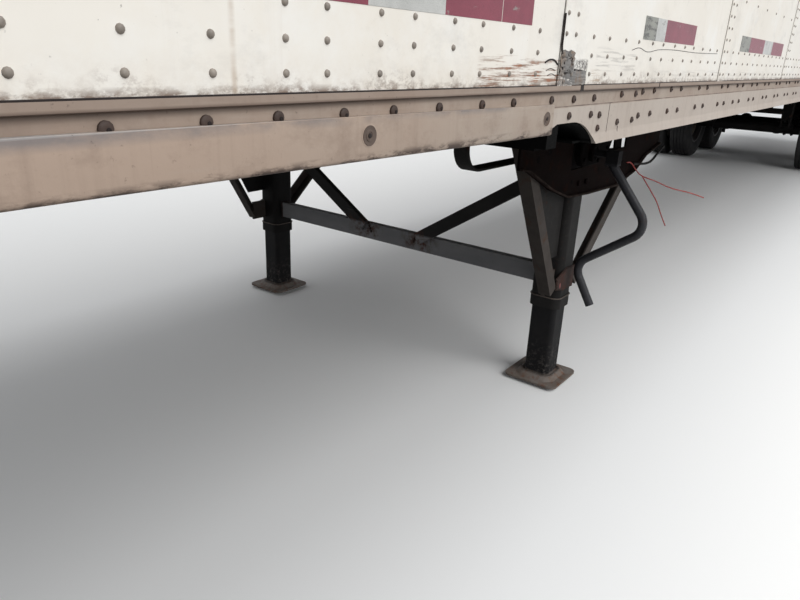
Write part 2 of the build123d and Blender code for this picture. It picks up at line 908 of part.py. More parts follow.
with BuildPart() as crank:
    with BuildLine():
        FilletPolyline(
            *[(leg_x, half_width - inset, z) for inset, z in crank_route],
            radius=crank_bend,
        )
    first = Vector(leg_x, half_width - crank_route[0][0], crank_route[0][1])
    second = Vector(leg_x, half_width - crank_route[1][0], crank_route[1][1])
    with BuildSketch(Plane(origin=first, z_dir=second - first)):
        Circle(crank_r)
    sweep()
    side_block(
        1,
        (leg_x - knuckle_width, leg_x + knuckle_width),
        (0, half_width),
        (knuckle_bottom, leg_top),
        mode=Mode.SUBTRACT,
    )

with BuildPart() as gear_input:
    with BuildSketch(Plane.XZ.offset(-(half_width - knuckle_inset))):
        with Locations((leg_x, gear_z)):
            Circle(gear_shaft_r)
    extrude(amount=half_width - knuckle_inset - wing_y)
    side_block(
        1,
        (leg_x - knuckle_width / 2, leg_x + knuckle_width / 2),
        (knuckle_inset - knuckle_length, knuckle_inset),
        (knuckle_bottom, gear_z + gear_shaft_r + 4),
    )
crank_drive = cross_shaft.part + gear_input.part + crank.part
save(crank_drive, "crank_drive")

with BuildPart() as guard_strap:
    with BuildSketch(Plane.XZ.offset(-(half_width - strap_inset + strap_width / 2))):
        with BuildLine():
            strap_top_x = nearest_cross(leg_x + strap_front)
            strap_drop = gear_z - strap_z - strap_thickness / 2
            FilletPolyline(
                (leg_x + (gear_housing_r**2 - strap_drop**2) ** 0.5, strap_z),
                (strap_top_x, strap_z),
                (strap_top_x, rail_bottom),
                radius=strap_bend,
            )
        trace(line_width=strap_thickness)
    extrude(amount=strap_width)
save(guard_strap.part, "guard_strap")

# Tandem frame and hangers
frame_front_x = front_x - frame_front
frame_rear_x = front_x - frame_rear
spring_half = spring_span / 2
hanger_xs = (
    axle_xs[0] + spring_half - hanger_overlap,
    tandem_x,
    axle_xs[1] - spring_half + hanger_overlap,
)
spring_z = wheel_z + axle_tube_r + spring_seat
spring_end_top = spring_z + spring_camber + spring_thickness / 2
pocket_half = spring_width / 2 + spring_side_gap
with BuildPart() as tandem_frame:
    for side, word in sides:
        channel_bar(
            (frame_rear_x, side * frame_rail_y, rail_bottom - frame_rail_depth / 2),
            (frame_front_x, side * frame_rail_y, rail_bottom - frame_rail_depth / 2),
            frame_rail_depth,
            frame_rail_width,
            frame_rail_wall,
            (0, -side, 0),
        )
    for x in (frame_front_x - frame_cross_inset, tandem_x, frame_rear_x + frame_cross_inset):
        block(
            (x - 50, x + 50),
            (-(frame_rail_y - frame_rail_width / 2), frame_rail_y - frame_rail_width / 2),
            (frame_rail_bottom + 20, rail_bottom - 20),
        )
save(tandem_frame.part, "tandem_frame")

hanger_bottom = frame_rail_bottom - hanger_drop
rod_pin_z = hanger_bottom + hanger_foot / 2
with BuildPart() as spring_hangers:
    for side, word in sides:
        for x in hanger_xs:
            foot = hanger_foot + (x == tandem_x) * (axle_xs[0] - tandem_x - spring_half)
            with BuildSketch(Plane.XZ.offset(-side * frame_rail_y)):
                with BuildLine():
                    Polyline(
                        (x - foot - hanger_flare, frame_rail_bottom),
                        (x + foot + hanger_flare, frame_rail_bottom),
                        (x + foot, hanger_bottom),
                        (x - foot, hanger_bottom),
                        close=True,
                    )
                make_face()
            extrude(amount=hanger_width / 2, both=True)
            block(
                (x - 3 * foot, x + 3 * foot),
                (side * frame_rail_y - pocket_half, side * frame_rail_y + pocket_half),
                (hanger_bottom, spring_end_top + (x == tandem_x) * (rocker_height + rocker_gap)),
                mode=Mode.SUBTRACT,
            )
save(spring_hangers.part, "spring_hangers")

# Rocking beams that share the load between the springs
with BuildPart() as equalizers:
    for side, word in sides:
        with BuildSketch(Plane.XZ.offset(-side * frame_rail_y)):
            with BuildLine():
                Polyline(
                    *[
                        (tandem_x + x, spring_end_top + z)
                        for x, z in (
                            (-rocker_half, 0),
                            (-rocker_arch_half, 0),
                            (-rocker_arch_half + rocker_arch, rocker_arch),
                            (rocker_arch_half - rocker_arch, rocker_arch),
                            (rocker_arch_half, 0),
                            (rocker_half, 0),
                            (rocker_half, rocker_tip),
                            (rocker_pin_r, rocker_height),
                            (-rocker_pin_r, rocker_height),
                            (-rocker_half, rocker_tip),
                        )
                    ],
                    close=True,
                )
            make_face()
        extrude(amount=spring_width / 2, both=True)
        with BuildSketch(Plane.XZ.offset(-side * frame_rail_y)):
            with Locations((tandem_x, spring_end_top + rocker_height / 2)):
                Circle(rocker_pin_r)
        extrude(amount=pocket_half, both=True)
save(equalizers.part, "equalizers")

with BuildPart() as radius_rods:
    for side, word in sides:
        for axle_x, hanger_x in zip(axle_xs, hanger_xs):
            far_end = (hanger_x, side * frame_rail_y, rod_pin_z)
            near_end = (axle_x + rod_seat - radius_rod_r, side * frame_rail_y, wheel_z + rod_seat_rise)
            rod(near_end, far_end, radius_rod_r)
            block(
                (axle_x, axle_x + rod_seat),
                (side * (frame_rail_y - spring_width), side * (frame_rail_y + spring_width)),
                (wheel_z, spring_z),
                mode=Mode.SUBTRACT,
            )
            with BuildSketch(Plane.XZ.offset(-side * frame_rail_y + spring_width / 2)):
                with Locations((hanger_x, rod_pin_z)):
                    Circle(rod_eye_r)
            extrude(amount=-spring_width)
save(radius_rods.part, "radius_rods")

# Leaf springs
with BuildPart() as leaf_springs:
    for side, word in sides:
        for x in axle_xs:
            with BuildSketch(Plane.XZ.offset(-side * frame_rail_y)):
                with BuildLine():
                    half = spring_half
                    ThreePointArc(
                        (x - half, spring_z + spring_camber),
                        (x, spring_z),
                        (x + half, spring_z + spring_camber),
                    )
                    Line(
                        (x + half, spring_z + spring_camber),
                        (x + half, spring_z + spring_camber + spring_thickness / 2),
                    )
                    ThreePointArc(
                        (x + half, spring_z + spring_camber + spring_thickness / 2),
                        (x, spring_z + spring_thickness),
                        (x - half, spring_z + spring_camber + spring_thickness / 2),
                    )
                    Line(
                        (x - half, spring_z + spring_camber + spring_thickness / 2),
                        (x - half, spring_z + spring_camber),
                    )
                make_face()
            extrude(amount=spring_width / 2, both=True)
save(leaf_springs.part, "leaf_springs")

# Axles with their spring seats and spindles
for x, word in zip(axle_xs, axle_names):
    with BuildPart() as axle:
        with BuildSketch(Plane.YZ.offset(x)):
            with BuildLine():
                Polyline(
                    (0, wheel_z),
                    (track_half + spindle_reach - 20, wheel_z),
                    (track_half + spindle_reach - 20, wheel_z + spindle_r),
                    (track_half - dual_half - rim_half - axle_end_gap, wheel_z + spindle_r),
                    (track_half - dual_half - rim_half - axle_end_gap, wheel_z + axle_tube_r),
                    (0, wheel_z + axle_tube_r),
                    close=True,
                )
            make_face()
        revolve(axis=Axis((x, 0, wheel_z), (0, 1, 0)))
        mirror(about=Plane.XZ)
        for side, side_word in sides:
            block(
                (x - rod_seat, x + rod_seat),
                (side * (frame_rail_y - hanger_width / 2), side * (frame_rail_y + hanger_width / 2)),
                (wheel_z, spring_z),
            )
    save(axle.part, f"axle_{word}")

# Wheels: twin tyres and the rims, drum and hub that carry them
for x, axle_word in zip(axle_xs, axle_names):
    for side, side_word in sides:
        with BuildPart() as tyres:
            for place in (-1, 1):
                y = side * (track_half + place * dual_half)
                with BuildSketch(Plane.YZ.offset(x)):
                    with BuildLine():
                        Polyline(
                            (y - tyre_width / 2, wheel_z + tyre_bead_r),
                            (y - tyre_width / 2, wheel_z + tyre_r),
                            (y + tyre_width / 2, wheel_z + tyre_r),
                            (y + tyre_width / 2, wheel_z + tyre_bead_r),
                            close=True,
                        )
                    make_face()
                revolve(axis=Axis((x, 0, wheel_z), (0, 1, 0)))
        save(tyres.part, f"tyres_{axle_word}_{side_word}")

        with BuildPart() as wheel:
            rim_end = dual_half + rim_half
            with BuildSketch(Plane.YZ.offset(x)):
                with BuildLine():
                    Polyline(
                        *[
                            (side * (track_half + y), wheel_z + r)
                            for y, r in (
                                (-rim_end, spindle_r + spindle_fit),
                                (-rim_end, tyre_bead_r),
                                (rim_end, tyre_bead_r),
                                (rim_end, rim_inner_r),
                                (disc_out, rim_inner_r),
                                (disc_out, hub_r),
                                (hub_reach, hub_r),
                                (hub_reach, 0),
                                (spindle_reach, 0),
                                (spindle_reach, spindle_r + spindle_fit),
                            )
                        ],
                        close=True,
                    )
                make_face()
            revolve(axis=Axis((x, 0, wheel_z), (0, 1, 0)))
        save(wheel.part, f"wheel_{axle_word}_{side_word}")

# Brake chambers, air tanks and mud flaps
with BuildPart() as brake_chambers:
    for x in axle_xs:
        for side, word in sides:
            chamber_x = x - axle_tube_r
            with BuildSketch(Plane.YZ.offset(chamber_x - chamber_arm)):
                with Locations((side * chamber_y, wheel_z)):
                    Circle(chamber_r)
            extrude(amount=-chamber_length)
            block(
                (chamber_x - chamber_arm, chamber_x),
                (side * (chamber_y - chamber_arm / 2), side * (chamber_y + chamber_arm / 2)),
                (wheel_z - chamber_arm_height / 2, wheel_z + chamber_arm_height / 2),
            )
save(brake_chambers.part, "brake_chambers")

with BuildPart() as air_tanks:
    for place in (0, 1):
        x = nearest_cross(frame_front_x + 300) + place * crossmember_pitch
        with BuildSketch(Plane.XZ.offset(-tank_length / 2)):
            with Locations((x, rail_bottom - tank_r)):
                Circle(tank_r)
        extrude(amount=tank_length)
save(air_tanks.part, "air_tanks")

with BuildPart() as mud_flaps:
    for side, word in sides:
        flap_x = nearest_cross(axle_xs[1] - tyre_r - 200)
        flap_y = side * (half_width - 15)
        block(
            (flap_x - flap_thickness / 2, flap_x + flap_thickness / 2),
            (flap_y, flap_y - side * flap_width),
            (flap_bottom, rail_bottom),
        )
save(mud_flaps.part, "mud_flaps")

# Lamps
lamp_r = 55.0
lamp_proud = 6.0
lamp_ys = (620.0, 760.0)
header_lamp_pitch = 160.0
header_lamp_count = 3
header_lamp = (90.0, 32.0)
header_lamp_corner = 12.0
marker_lamp = (96.0, 34.0)
marker_proud = 9.0
marker_taper = 25.0
marker_front_y = 1130.0
marker_front_drop = 55.0
rear_marker_setback = 170.0  # ahead of the rear frame
side_markers = (  # from the front face, z, inset of the face that carries it
    (260.0, body_height - 70.0, 0.0),
    (150.0, 1430.0, strip_thickness),
    (8040.0, (rail_line + lip_top) / 2, lower_recess),
)


def marker(place, outward, along):
    with BuildSketch(Plane(origin=place, x_dir=along, z_dir=outward)) as base:
        Rectangle(*marker_lamp)
    extrude(base.sketch, amount=marker_proud, taper=marker_taper)


with BuildPart() as marker_lamps:
    for side, word in sides:
        for setback, z, inset in side_markers:
            marker((front_x - setback, side * (half_width - inset), z), (0, side, 0), (1, 0, 0))
        marker((front_x, side * marker_front_y, body_height - marker_front_drop), (1, 0, 0), (0, 1, 0))
save(marker_lamps.part, "marker_lamps")

with BuildPart() as tail_lamps:
    for side, word in sides:
        rear_marker_x = side_rear_x + rear_marker_setback
        rear_marker_z = (rail_line + lip_top) / 2
        marker((rear_marker_x, side * (half_width - lower_recess), rear_marker_z), (0, side, 0), (1, 0, 0))
    with BuildSketch(Plane.YZ.offset(post_face_x)):
        for side, word in sides:
            for y in lamp_ys:
                with Locations((side * y, (sill_bottom + sill_top) / 2)):
                    Circle(lamp_r)
    extrude(amount=-lamp_proud)
    with BuildSketch(Plane.YZ.offset(post_face_x)):
        with Locations((0, header_bottom + header_height / 2)):
            with GridLocations(header_lamp_pitch, 0, header_lamp_count, 1):
                RectangleRounded(*header_lamp, header_lamp_corner)
    extrude(amount=-lamp_proud)
save(tail_lamps.part, "tail_lamps")

# Gladhands and socket on the nose
nose_plate = (460.0, 170.0)
nose_plate_proud = 8.0
nose_plate_z = 1375.0
coupling_y = 170.0
coupling_r = 42.0
socket_size = 90.0
socket_corner = 20.0
socket_short = 16.0  # the socket ends this far behind the couplings
nose_face_x = front_x + nose_plate_proud
with BuildPart() as nose_box:
    with BuildSketch(Plane.YZ.offset(front_x - wall_setback)):
        with Locations((0, nose_plate_z)):
            Rectangle(*nose_plate)
    extrude(amount=wall_setback + nose_plate_proud)
    with BuildSketch(Plane.YZ.offset(nose_face_x)):
        with Locations((coupling_y, nose_plate_z), (-coupling_y, nose_plate_z)):
            Circle(coupling_r)
    extrude(amount=nose_reach - nose_plate_proud)
    with BuildSketch(Plane.YZ.offset(nose_face_x)):
        with Locations((0, nose_plate_z)):
            RectangleRounded(socket_size, socket_size, socket_corner)
    extrude(amount=nose_reach - nose_plate_proud - socket_short)
save(nose_box.part, "nose_box")
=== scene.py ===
import bpy
import json
import math
from mathutils import Matrix, Vector


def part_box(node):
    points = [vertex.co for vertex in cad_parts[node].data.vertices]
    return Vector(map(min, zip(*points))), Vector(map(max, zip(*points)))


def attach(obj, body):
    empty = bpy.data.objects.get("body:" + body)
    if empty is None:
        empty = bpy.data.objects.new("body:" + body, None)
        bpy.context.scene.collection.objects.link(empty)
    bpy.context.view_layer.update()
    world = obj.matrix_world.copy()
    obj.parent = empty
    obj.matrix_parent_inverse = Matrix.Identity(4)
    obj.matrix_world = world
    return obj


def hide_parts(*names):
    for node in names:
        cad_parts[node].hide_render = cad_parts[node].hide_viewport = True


# Dry van semi trailer, dressed for a close view of its left side by the landing gear.
# X points to the front, Y to the left side and Z up, all in metres.

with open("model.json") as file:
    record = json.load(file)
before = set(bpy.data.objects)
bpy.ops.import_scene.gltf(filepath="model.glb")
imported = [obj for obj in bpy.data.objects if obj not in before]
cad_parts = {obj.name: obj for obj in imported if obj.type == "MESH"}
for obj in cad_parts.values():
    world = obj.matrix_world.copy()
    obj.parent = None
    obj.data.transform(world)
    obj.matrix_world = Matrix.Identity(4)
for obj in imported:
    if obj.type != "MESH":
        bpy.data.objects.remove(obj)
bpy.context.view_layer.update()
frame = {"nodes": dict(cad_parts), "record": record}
wallLow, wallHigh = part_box("side_wall_left")
railLow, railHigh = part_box("bottom_rail_left")
footLow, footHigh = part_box("leg_foot_left")
tyreLow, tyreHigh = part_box("tyres_front_left")
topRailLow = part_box("top_rail_left")[0]
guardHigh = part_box("rail_guard_left")[1]
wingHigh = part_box("wing_plates")[1]
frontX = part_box("front_frame")[1][0]
twinMiddle = (tyreLow[1] + tyreHigh[1]) / 2
legX = (footLow[0] + footHigh[0]) / 2
legY = (footLow[1] + footHigh[1]) / 2
stripY = wallHigh[1]
panelY = stripY - 0.0025
railY = stripY - 0.006
bandY = stripY - 0.008
panelBottom = wallLow[2]
beadBottom = 1.226
railLine = 1.1965
wingFace = wingHigh[1] - 0.014  # the plate behind its bent lip
trailer = "trailer"
print("frame loaded")


# Side guard along the front part of the rail: it hangs a little lower towards its rear end
guardShape = {
    "top": 1.2105,
    "low": 1.1625,
    "proud": 0.012,
    "end": 1.238,  # ahead of the legs
    "lip": 0.0035,
    "rounding": 0.0055,
    "droops": ((2.60, 0.0), (2.15, 0.0008), (1.75, 0.0038), (1.238, 0.0085)),  # ahead of the legs, lowering
}

# Camera at the photograph's place beside the rail, ahead of the legs
photoView = {
    "aheadOfLegs": 2.397,
    "outFromSide": 0.541,
    "height": 1.283,
    "turn": 36.70,
    "downward": 20.87,
    "roll": 2.48,
    "lens": 29.25,
}


def placeCamera():
    bpy.ops.object.camera_add()
    camera = bpy.context.object
    camera.name = "photoCamera"
    camera.data.lens = photoView["lens"]
    camera.data.clip_start = 0.02
    camera.data.clip_end = 200
    heading = Matrix.Rotation(math.radians(90 + photoView["turn"]), 4, "Z")
    tilt = Matrix.Rotation(math.radians(90 - photoView["downward"]), 4, "X")
    roll = Matrix.Rotation(math.radians(photoView["roll"]), 4, "Z")
    place = (legX + photoView["aheadOfLegs"], stripY + photoView["outFromSide"], photoView["height"])
    camera.matrix_world = Matrix.Translation(place) @ heading @ tilt @ roll
    bpy.context.scene.camera = camera


placeCamera()
print("camera placed")


# Plain pale floor and soft studio light
studio = {
    "floorSeen": (0.86, 0.86, 0.85, 1),
    "floorBounce": (0.12, 0.12, 0.12, 1),  # what the floor gives back to the underside
    "skyColor": (0.95, 0.97, 1.0, 1),
    "skyStrength": 0.78,
    "lamps": (  # name, place, size, power, aimed at
        ("sideLamp", (5.5, 8.5, 6.5), 7, 590, (4.0, 1.3, 1.2)),
        ("topLamp", (0, 0, 12), 14, 820, (0, 0, 0)),
    ),
}


def deselectAll():
    if bpy.context.mode != "OBJECT":
        bpy.ops.object.mode_set(mode="OBJECT")
    bpy.ops.object.select_all(action="DESELECT")


def pick(piece):
    deselectAll()
    piece.select_set(True)
    bpy.context.view_layer.objects.active = piece


def buildStudio():
    deselectAll()
    bpy.ops.mesh.primitive_plane_add(size=120, location=(0, 0, -0.001))
    ground = bpy.context.object
    ground.name = "studioFloor"
    floorPaint = bpy.data.materials.new("studioFloorPaint")
    floorPaint.use_nodes = True
    tree = floorPaint.node_tree
    rays = tree.nodes.new("ShaderNodeLightPath")
    seen = tree.nodes.new("ShaderNodeMath")
    seen.operation = "MAXIMUM"
    tree.links.new(rays.outputs["Is Camera Ray"], seen.inputs[0])
    tree.links.new(rays.outputs["Is Glossy Ray"], seen.inputs[1])
    tone = tree.nodes.new("ShaderNodeMix")
    tone.data_type = "RGBA"
    tree.links.new(seen.outputs[0], tone.inputs[0])
    tone.inputs[6].default_value = studio["floorBounce"]
    tone.inputs[7].default_value = studio["floorSeen"]
    shader = tree.nodes["Principled BSDF"]
    tree.links.new(tone.outputs[2], shader.inputs["Base Color"])
    shader.inputs["Roughness"].default_value = 0.9
    shader.inputs["Specular IOR Level"].default_value = 0.1
    ground.data.materials.append(floorPaint)

    world = bpy.data.worlds.new("studioSky")
    world.use_nodes = True
    sky = world.node_tree.nodes["Background"]
    sky.inputs["Color"].default_value = studio["skyColor"]
    sky.inputs["Strength"].default_value = studio["skyStrength"]
    bpy.context.scene.world = world

    for name, place, size, power, target in studio["lamps"]:
        bpy.ops.object.light_add(type="AREA", location=place)
        lamp = bpy.context.object
        lamp.name = name
        lamp.data.size = size
        lamp.data.energy = power
        aim = Vector(target) - Vector(place)
        lamp.rotation_euler = aim.to_track_quat("-Z", "Y").to_euler()


buildStudio()
bpy.context.scene.view_settings.view_transform = "Standard"
print("studio built")


# Material tools
def newTree(name):
    paint = bpy.data.materials.new(name)
    paint.use_nodes = True
    tree = paint.node_tree
    tree.nodes.clear()
    return paint, tree


def addNode(tree, kind, inputs=None, **settings):
    node = tree.nodes.new(kind)
    for key, value in settings.items():
        setattr(node, key, value)
    for key, value in (inputs or {}).items():
        socket = node.inputs[key]
        if isinstance(value, bpy.types.NodeSocket):
            tree.links.new(value, socket)
        else:
            socket.default_value = value
    return node


def place3d(tree, stretch=(1, 1, 1)):
    coords = addNode(tree, "ShaderNodeTexCoord")
    spread = addNode(tree, "ShaderNodeMapping", {"Vector": coords.outputs["Object"], "Scale": stretch})
    return spread.outputs["Vector"]


def noise(tree, vector, scale, detail=4, roughness=0.55):
    inputs = {"Vector": vector, "Scale": scale, "Detail": detail, "Roughness": roughness}
    return addNode(tree, "ShaderNodeTexNoise", inputs).outputs["Fac"]


def ramp(tree, value, low, high, start=0.0, end=1.0):
    inputs = {"Value": value, "From Min": low, "From Max": high, "To Min": start, "To Max": end}
    return addNode(tree, "ShaderNodeMapRange", inputs, clamp=True).outputs["Result"]


def clouds(tree, vector, scale, detail, roughness, low, high, start=0.0, end=1.0):
    return ramp(tree, noise(tree, vector, scale, detail, roughness), low, high, start, end)


def combine(tree, first, second, kind="MULTIPLY"):
    return addNode(tree, "ShaderNodeMath", {0: first, 1: second}, operation=kind, use_clamp=True).outputs[0]


def subtract(tree, value, amount):
    return addNode(tree, "ShaderNodeMath", {0: value, 1: amount}, operation="SUBTRACT").outputs[0]


def absolute(tree, value):
    return addNode(tree, "ShaderNodeMath", {0: value}, operation="ABSOLUTE").outputs[0]


def toned(color, factor):
    return tuple(min(1, factor * c) for c in color[:3]) + (1,)


def mixColor(tree, factor, first, second, kind="MIX"):
    mix = addNode(tree, "ShaderNodeMix", data_type="RGBA", blend_type=kind)
    for index, value in ((0, factor), (6, first), (7, second)):
        if isinstance(value, bpy.types.NodeSocket):
            tree.links.new(value, mix.inputs[index])
        else:
            mix.inputs[index].default_value = value
    return mix.outputs[2]


def finishShader(tree, color, roughness, metallic=0.0, bump=None, bumpDistance=0.001, specular=0.5):
    inputs = {"Base Color": color, "Roughness": roughness, "Metallic": metallic}
    inputs["Specular IOR Level"] = specular
    if bump is not None:
        lift = addNode(tree, "ShaderNodeBump", {"Height": bump, "Distance": bumpDistance})
        inputs["Normal"] = lift.outputs["Normal"]
    shader = addNode(tree, "ShaderNodeBsdfPrincipled", inputs)
    addNode(tree, "ShaderNodeOutputMaterial", {"Surface": shader.outputs["BSDF"]})


def axisOf(tree, vector, axis):
    split = addNode(tree, "ShaderNodeSeparateXYZ", {"Vector": vector})
    return split.outputs[axis]


def bandAt(tree, value, center, halfWidth, soft):
    # 1 within halfWidth of center, falling to 0 over soft
    away = absolute(tree, subtract(tree, value, center))
    return ramp(tree, away, halfWidth + soft, halfWidth)


def patchAt(tree, at, xs, zs, soft):
    # 1 inside a rectangle of the side, given by its X and Z limits
    across = bandAt(tree, axisOf(tree, at, "X"), (xs[0] + xs[1]) / 2, abs(xs[1] - xs[0]) / 2, soft)
    upward = bandAt(tree, axisOf(tree, at, "Z"), (zs[0] + zs[1]) / 2, abs(zs[1] - zs[0]) / 2, soft)
    return combine(tree, across, upward)


# White panel skin with grime that creeps up from its lower edge
panelSkin = {
    "clean": (0.86, 0.82, 0.745, 1),
    "cream": (0.80, 0.745, 0.655, 1),
    "chalk": (0.88, 0.865, 0.82, 1),
    "streak": (0.44, 0.33, 0.235, 1),
    "grime": (0.145, 0.095, 0.072, 1),
    "rust": (0.30, 0.11, 0.045, 1),
    "grey": (0.36, 0.335, 0.30, 1),
    "speck": (0.16, 0.13, 0.11, 1),
    "scraped": (0.25, 0.15, 0.10, 1),
    "torn": (0.075, 0.065, 0.06, 1),
    "splashHeight": 0.022,
    "deposit": (0.0105, 0.0025),  # from no dirt to the most, above the lower edge
    "veilHeight": 0.045,
    "roughness": 0.44,
    "creaseAhead": 1.958,
    "scrape": ((1.205, 1.480), (1.237, 1.270)),  # ahead of the legs, height
    "rustSpot": ((1.008, 1.048), (1.240, 1.256)),
    "smudge": ((0.805, 1.030), (1.270, 1.300)),
    "tornPatch": ((1.080, 1.210), (1.2355, 1.280)),
    "lowScuff": ((-1.10, 0.66), (1.238, 1.262)),
}


def aheadOf(limits):
    return (legX + limits[0], legX + limits[1])


def makePanelPaint():
    paint, tree = newTree("panelPaint")
    at = place3d(tree)
    height = axisOf(tree, at, "Z")
    cloud = clouds(tree, at, 1.4, 5, 0.6, 0.36, 0.70)
    color = mixColor(tree, cloud, panelSkin["clean"], panelSkin["cream"])
    chalk = clouds(tree, at, 4.5, 6, 0.65, 0.50, 0.68, 0, 0.8)
    color = mixColor(tree, chalk, color, panelSkin["chalk"])
    runs = clouds(tree, place3d(tree, (30, 30, 1.1)), 1.0, 6, 0.62, 0.60, 0.78, 0.0, 0.12)
    color = mixColor(tree, runs, color, panelSkin["streak"])
    stains = clouds(tree, place3d(tree, (1, 1, 1.6)), 9, 7, 0.68, 0.54, 0.74, 0, 0.26)
    color = mixColor(tree, stains, color, panelSkin["grey"])

    # Splashed dirt: fine mottling, thicker towards the lower edge
    mottling = noise(tree, place3d(tree, (1, 1, 1.3)), 62, 8, 0.74)
    clumps = clouds(tree, at, 13, 5, 0.6, 0.40, 0.62)
    reach = combine(tree, clumps, panelSkin["splashHeight"] * 0.9)
    lifted = subtract(tree, height, reach)
    nearEdge = ramp(tree, lifted, panelBottom + panelSkin["splashHeight"] * 0.45, panelBottom - 0.012)
    splash = combine(tree, nearEdge, ramp(tree, mottling, 0.47, 0.59))
    color = mixColor(tree, combine(tree, splash, 0.62), color, panelSkin["grime"])
    none, most = panelSkin["deposit"]
    deposit = ramp(tree, height, panelBottom + none, panelBottom + most)
    gathered = clouds(tree, place3d(tree, (1, 1, 2)), 30, 7, 0.72, 0.45, 0.56, 0.10, 0.9)
    color = mixColor(tree, combine(tree, deposit, gathered), color, panelSkin["grime"])
    veil = ramp(tree, height, panelBottom + panelSkin["veilHeight"], panelBottom, 0.0, 0.22)
    color = mixColor(tree, combine(tree, veil, ramp(tree, mottling, 0.30, 0.60)), color, panelSkin["streak"])

    specks = clouds(tree, at, 170, 3, 0.6, 0.69, 0.75, 0, 0.6)
    patches = clouds(tree, at, 5, 2, 0.5, 0.50, 0.62)
    color = mixColor(tree, combine(tree, specks, patches), color, panelSkin["speck"])

    # Darker line along a crease in the skin: painted shade of the fold
    crease = bandAt(tree, axisOf(tree, at, "X"), legX + panelSkin["creaseAhead"], 0.001, 0.004)
    uneven = clouds(tree, place3d(tree, (1, 1, 6)), 8, 4, 0.6, 0.35, 0.65, 0.1, 0.6)
    color = mixColor(tree, combine(tree, crease, uneven), color, panelSkin["streak"])

    scratchGrain = noise(tree, place3d(tree, (9, 9, 190)), 1.0, 6, 0.7)
    scratches = ramp(tree, scratchGrain, 0.50, 0.60)
    scrapeArea = patchAt(tree, at, aheadOf(panelSkin["scrape"][0]), panelSkin["scrape"][1], 0.020)
    color = mixColor(tree, combine(tree, scrapeArea, scratches), color, panelSkin["scraped"])
    rusty = clouds(tree, at, 30, 5, 0.6, 0.50, 0.60)
    rustArea = combine(tree, combine(tree, scrapeArea, rusty), scratches)
    color = mixColor(tree, rustArea, color, panelSkin["rust"])
    for key, tint, strength in (
        ("rustSpot", panelSkin["streak"], 0.85),
        ("smudge", panelSkin["grey"], 0.55),
        ("lowScuff", panelSkin["grey"], 0.30),
    ):
        area = patchAt(tree, at, aheadOf(panelSkin[key][0]), panelSkin[key][1], 0.012)
        color = mixColor(tree, combine(tree, combine(tree, area, scratches), strength), color, tint)
    mottle = clouds(tree, at, 210, 6, 0.75, 0.42, 0.55, 0, 0.9)
    torn = patchAt(tree, at, aheadOf(panelSkin["tornPatch"][0]), panelSkin["tornPatch"][1], 0.006)
    color = mixColor(tree, combine(tree, torn, mottle), color, panelSkin["torn"])

    waves = noise(tree, at, 5, 3, 0.5)
    rough = ramp(tree, chalk, 0, 1, panelSkin["roughness"], 0.62)
    finishShader(tree, color, rough, 0.0, waves, 0.004)
    return paint


# Aluminium of the rails, tanned by road dirt, with painted shade below the bead and a painted highlight along
# the guard's upper lip
railMetal = {
    "tan": (0.350, 0.270, 0.215, 1),
    "pale": (0.420, 0.354, 0.296, 1),
    "guardTan": (0.430, 0.325, 0.255, 1),
    "brown": (0.205, 0.145, 0.112, 1),
    "dark": (0.060, 0.040, 0.032, 1),
    "blueGrey": (0.165, 0.160, 0.168, 1),
    "washed": (0.52, 0.47, 0.42, 1),
    "wiped": (0.46, 0.41, 0.36, 1),
    "lip": (0.50, 0.49, 0.475, 1),
    "guardFade": (1.45, 2.05),  # ahead of the legs
    "roughness": 0.62,
}


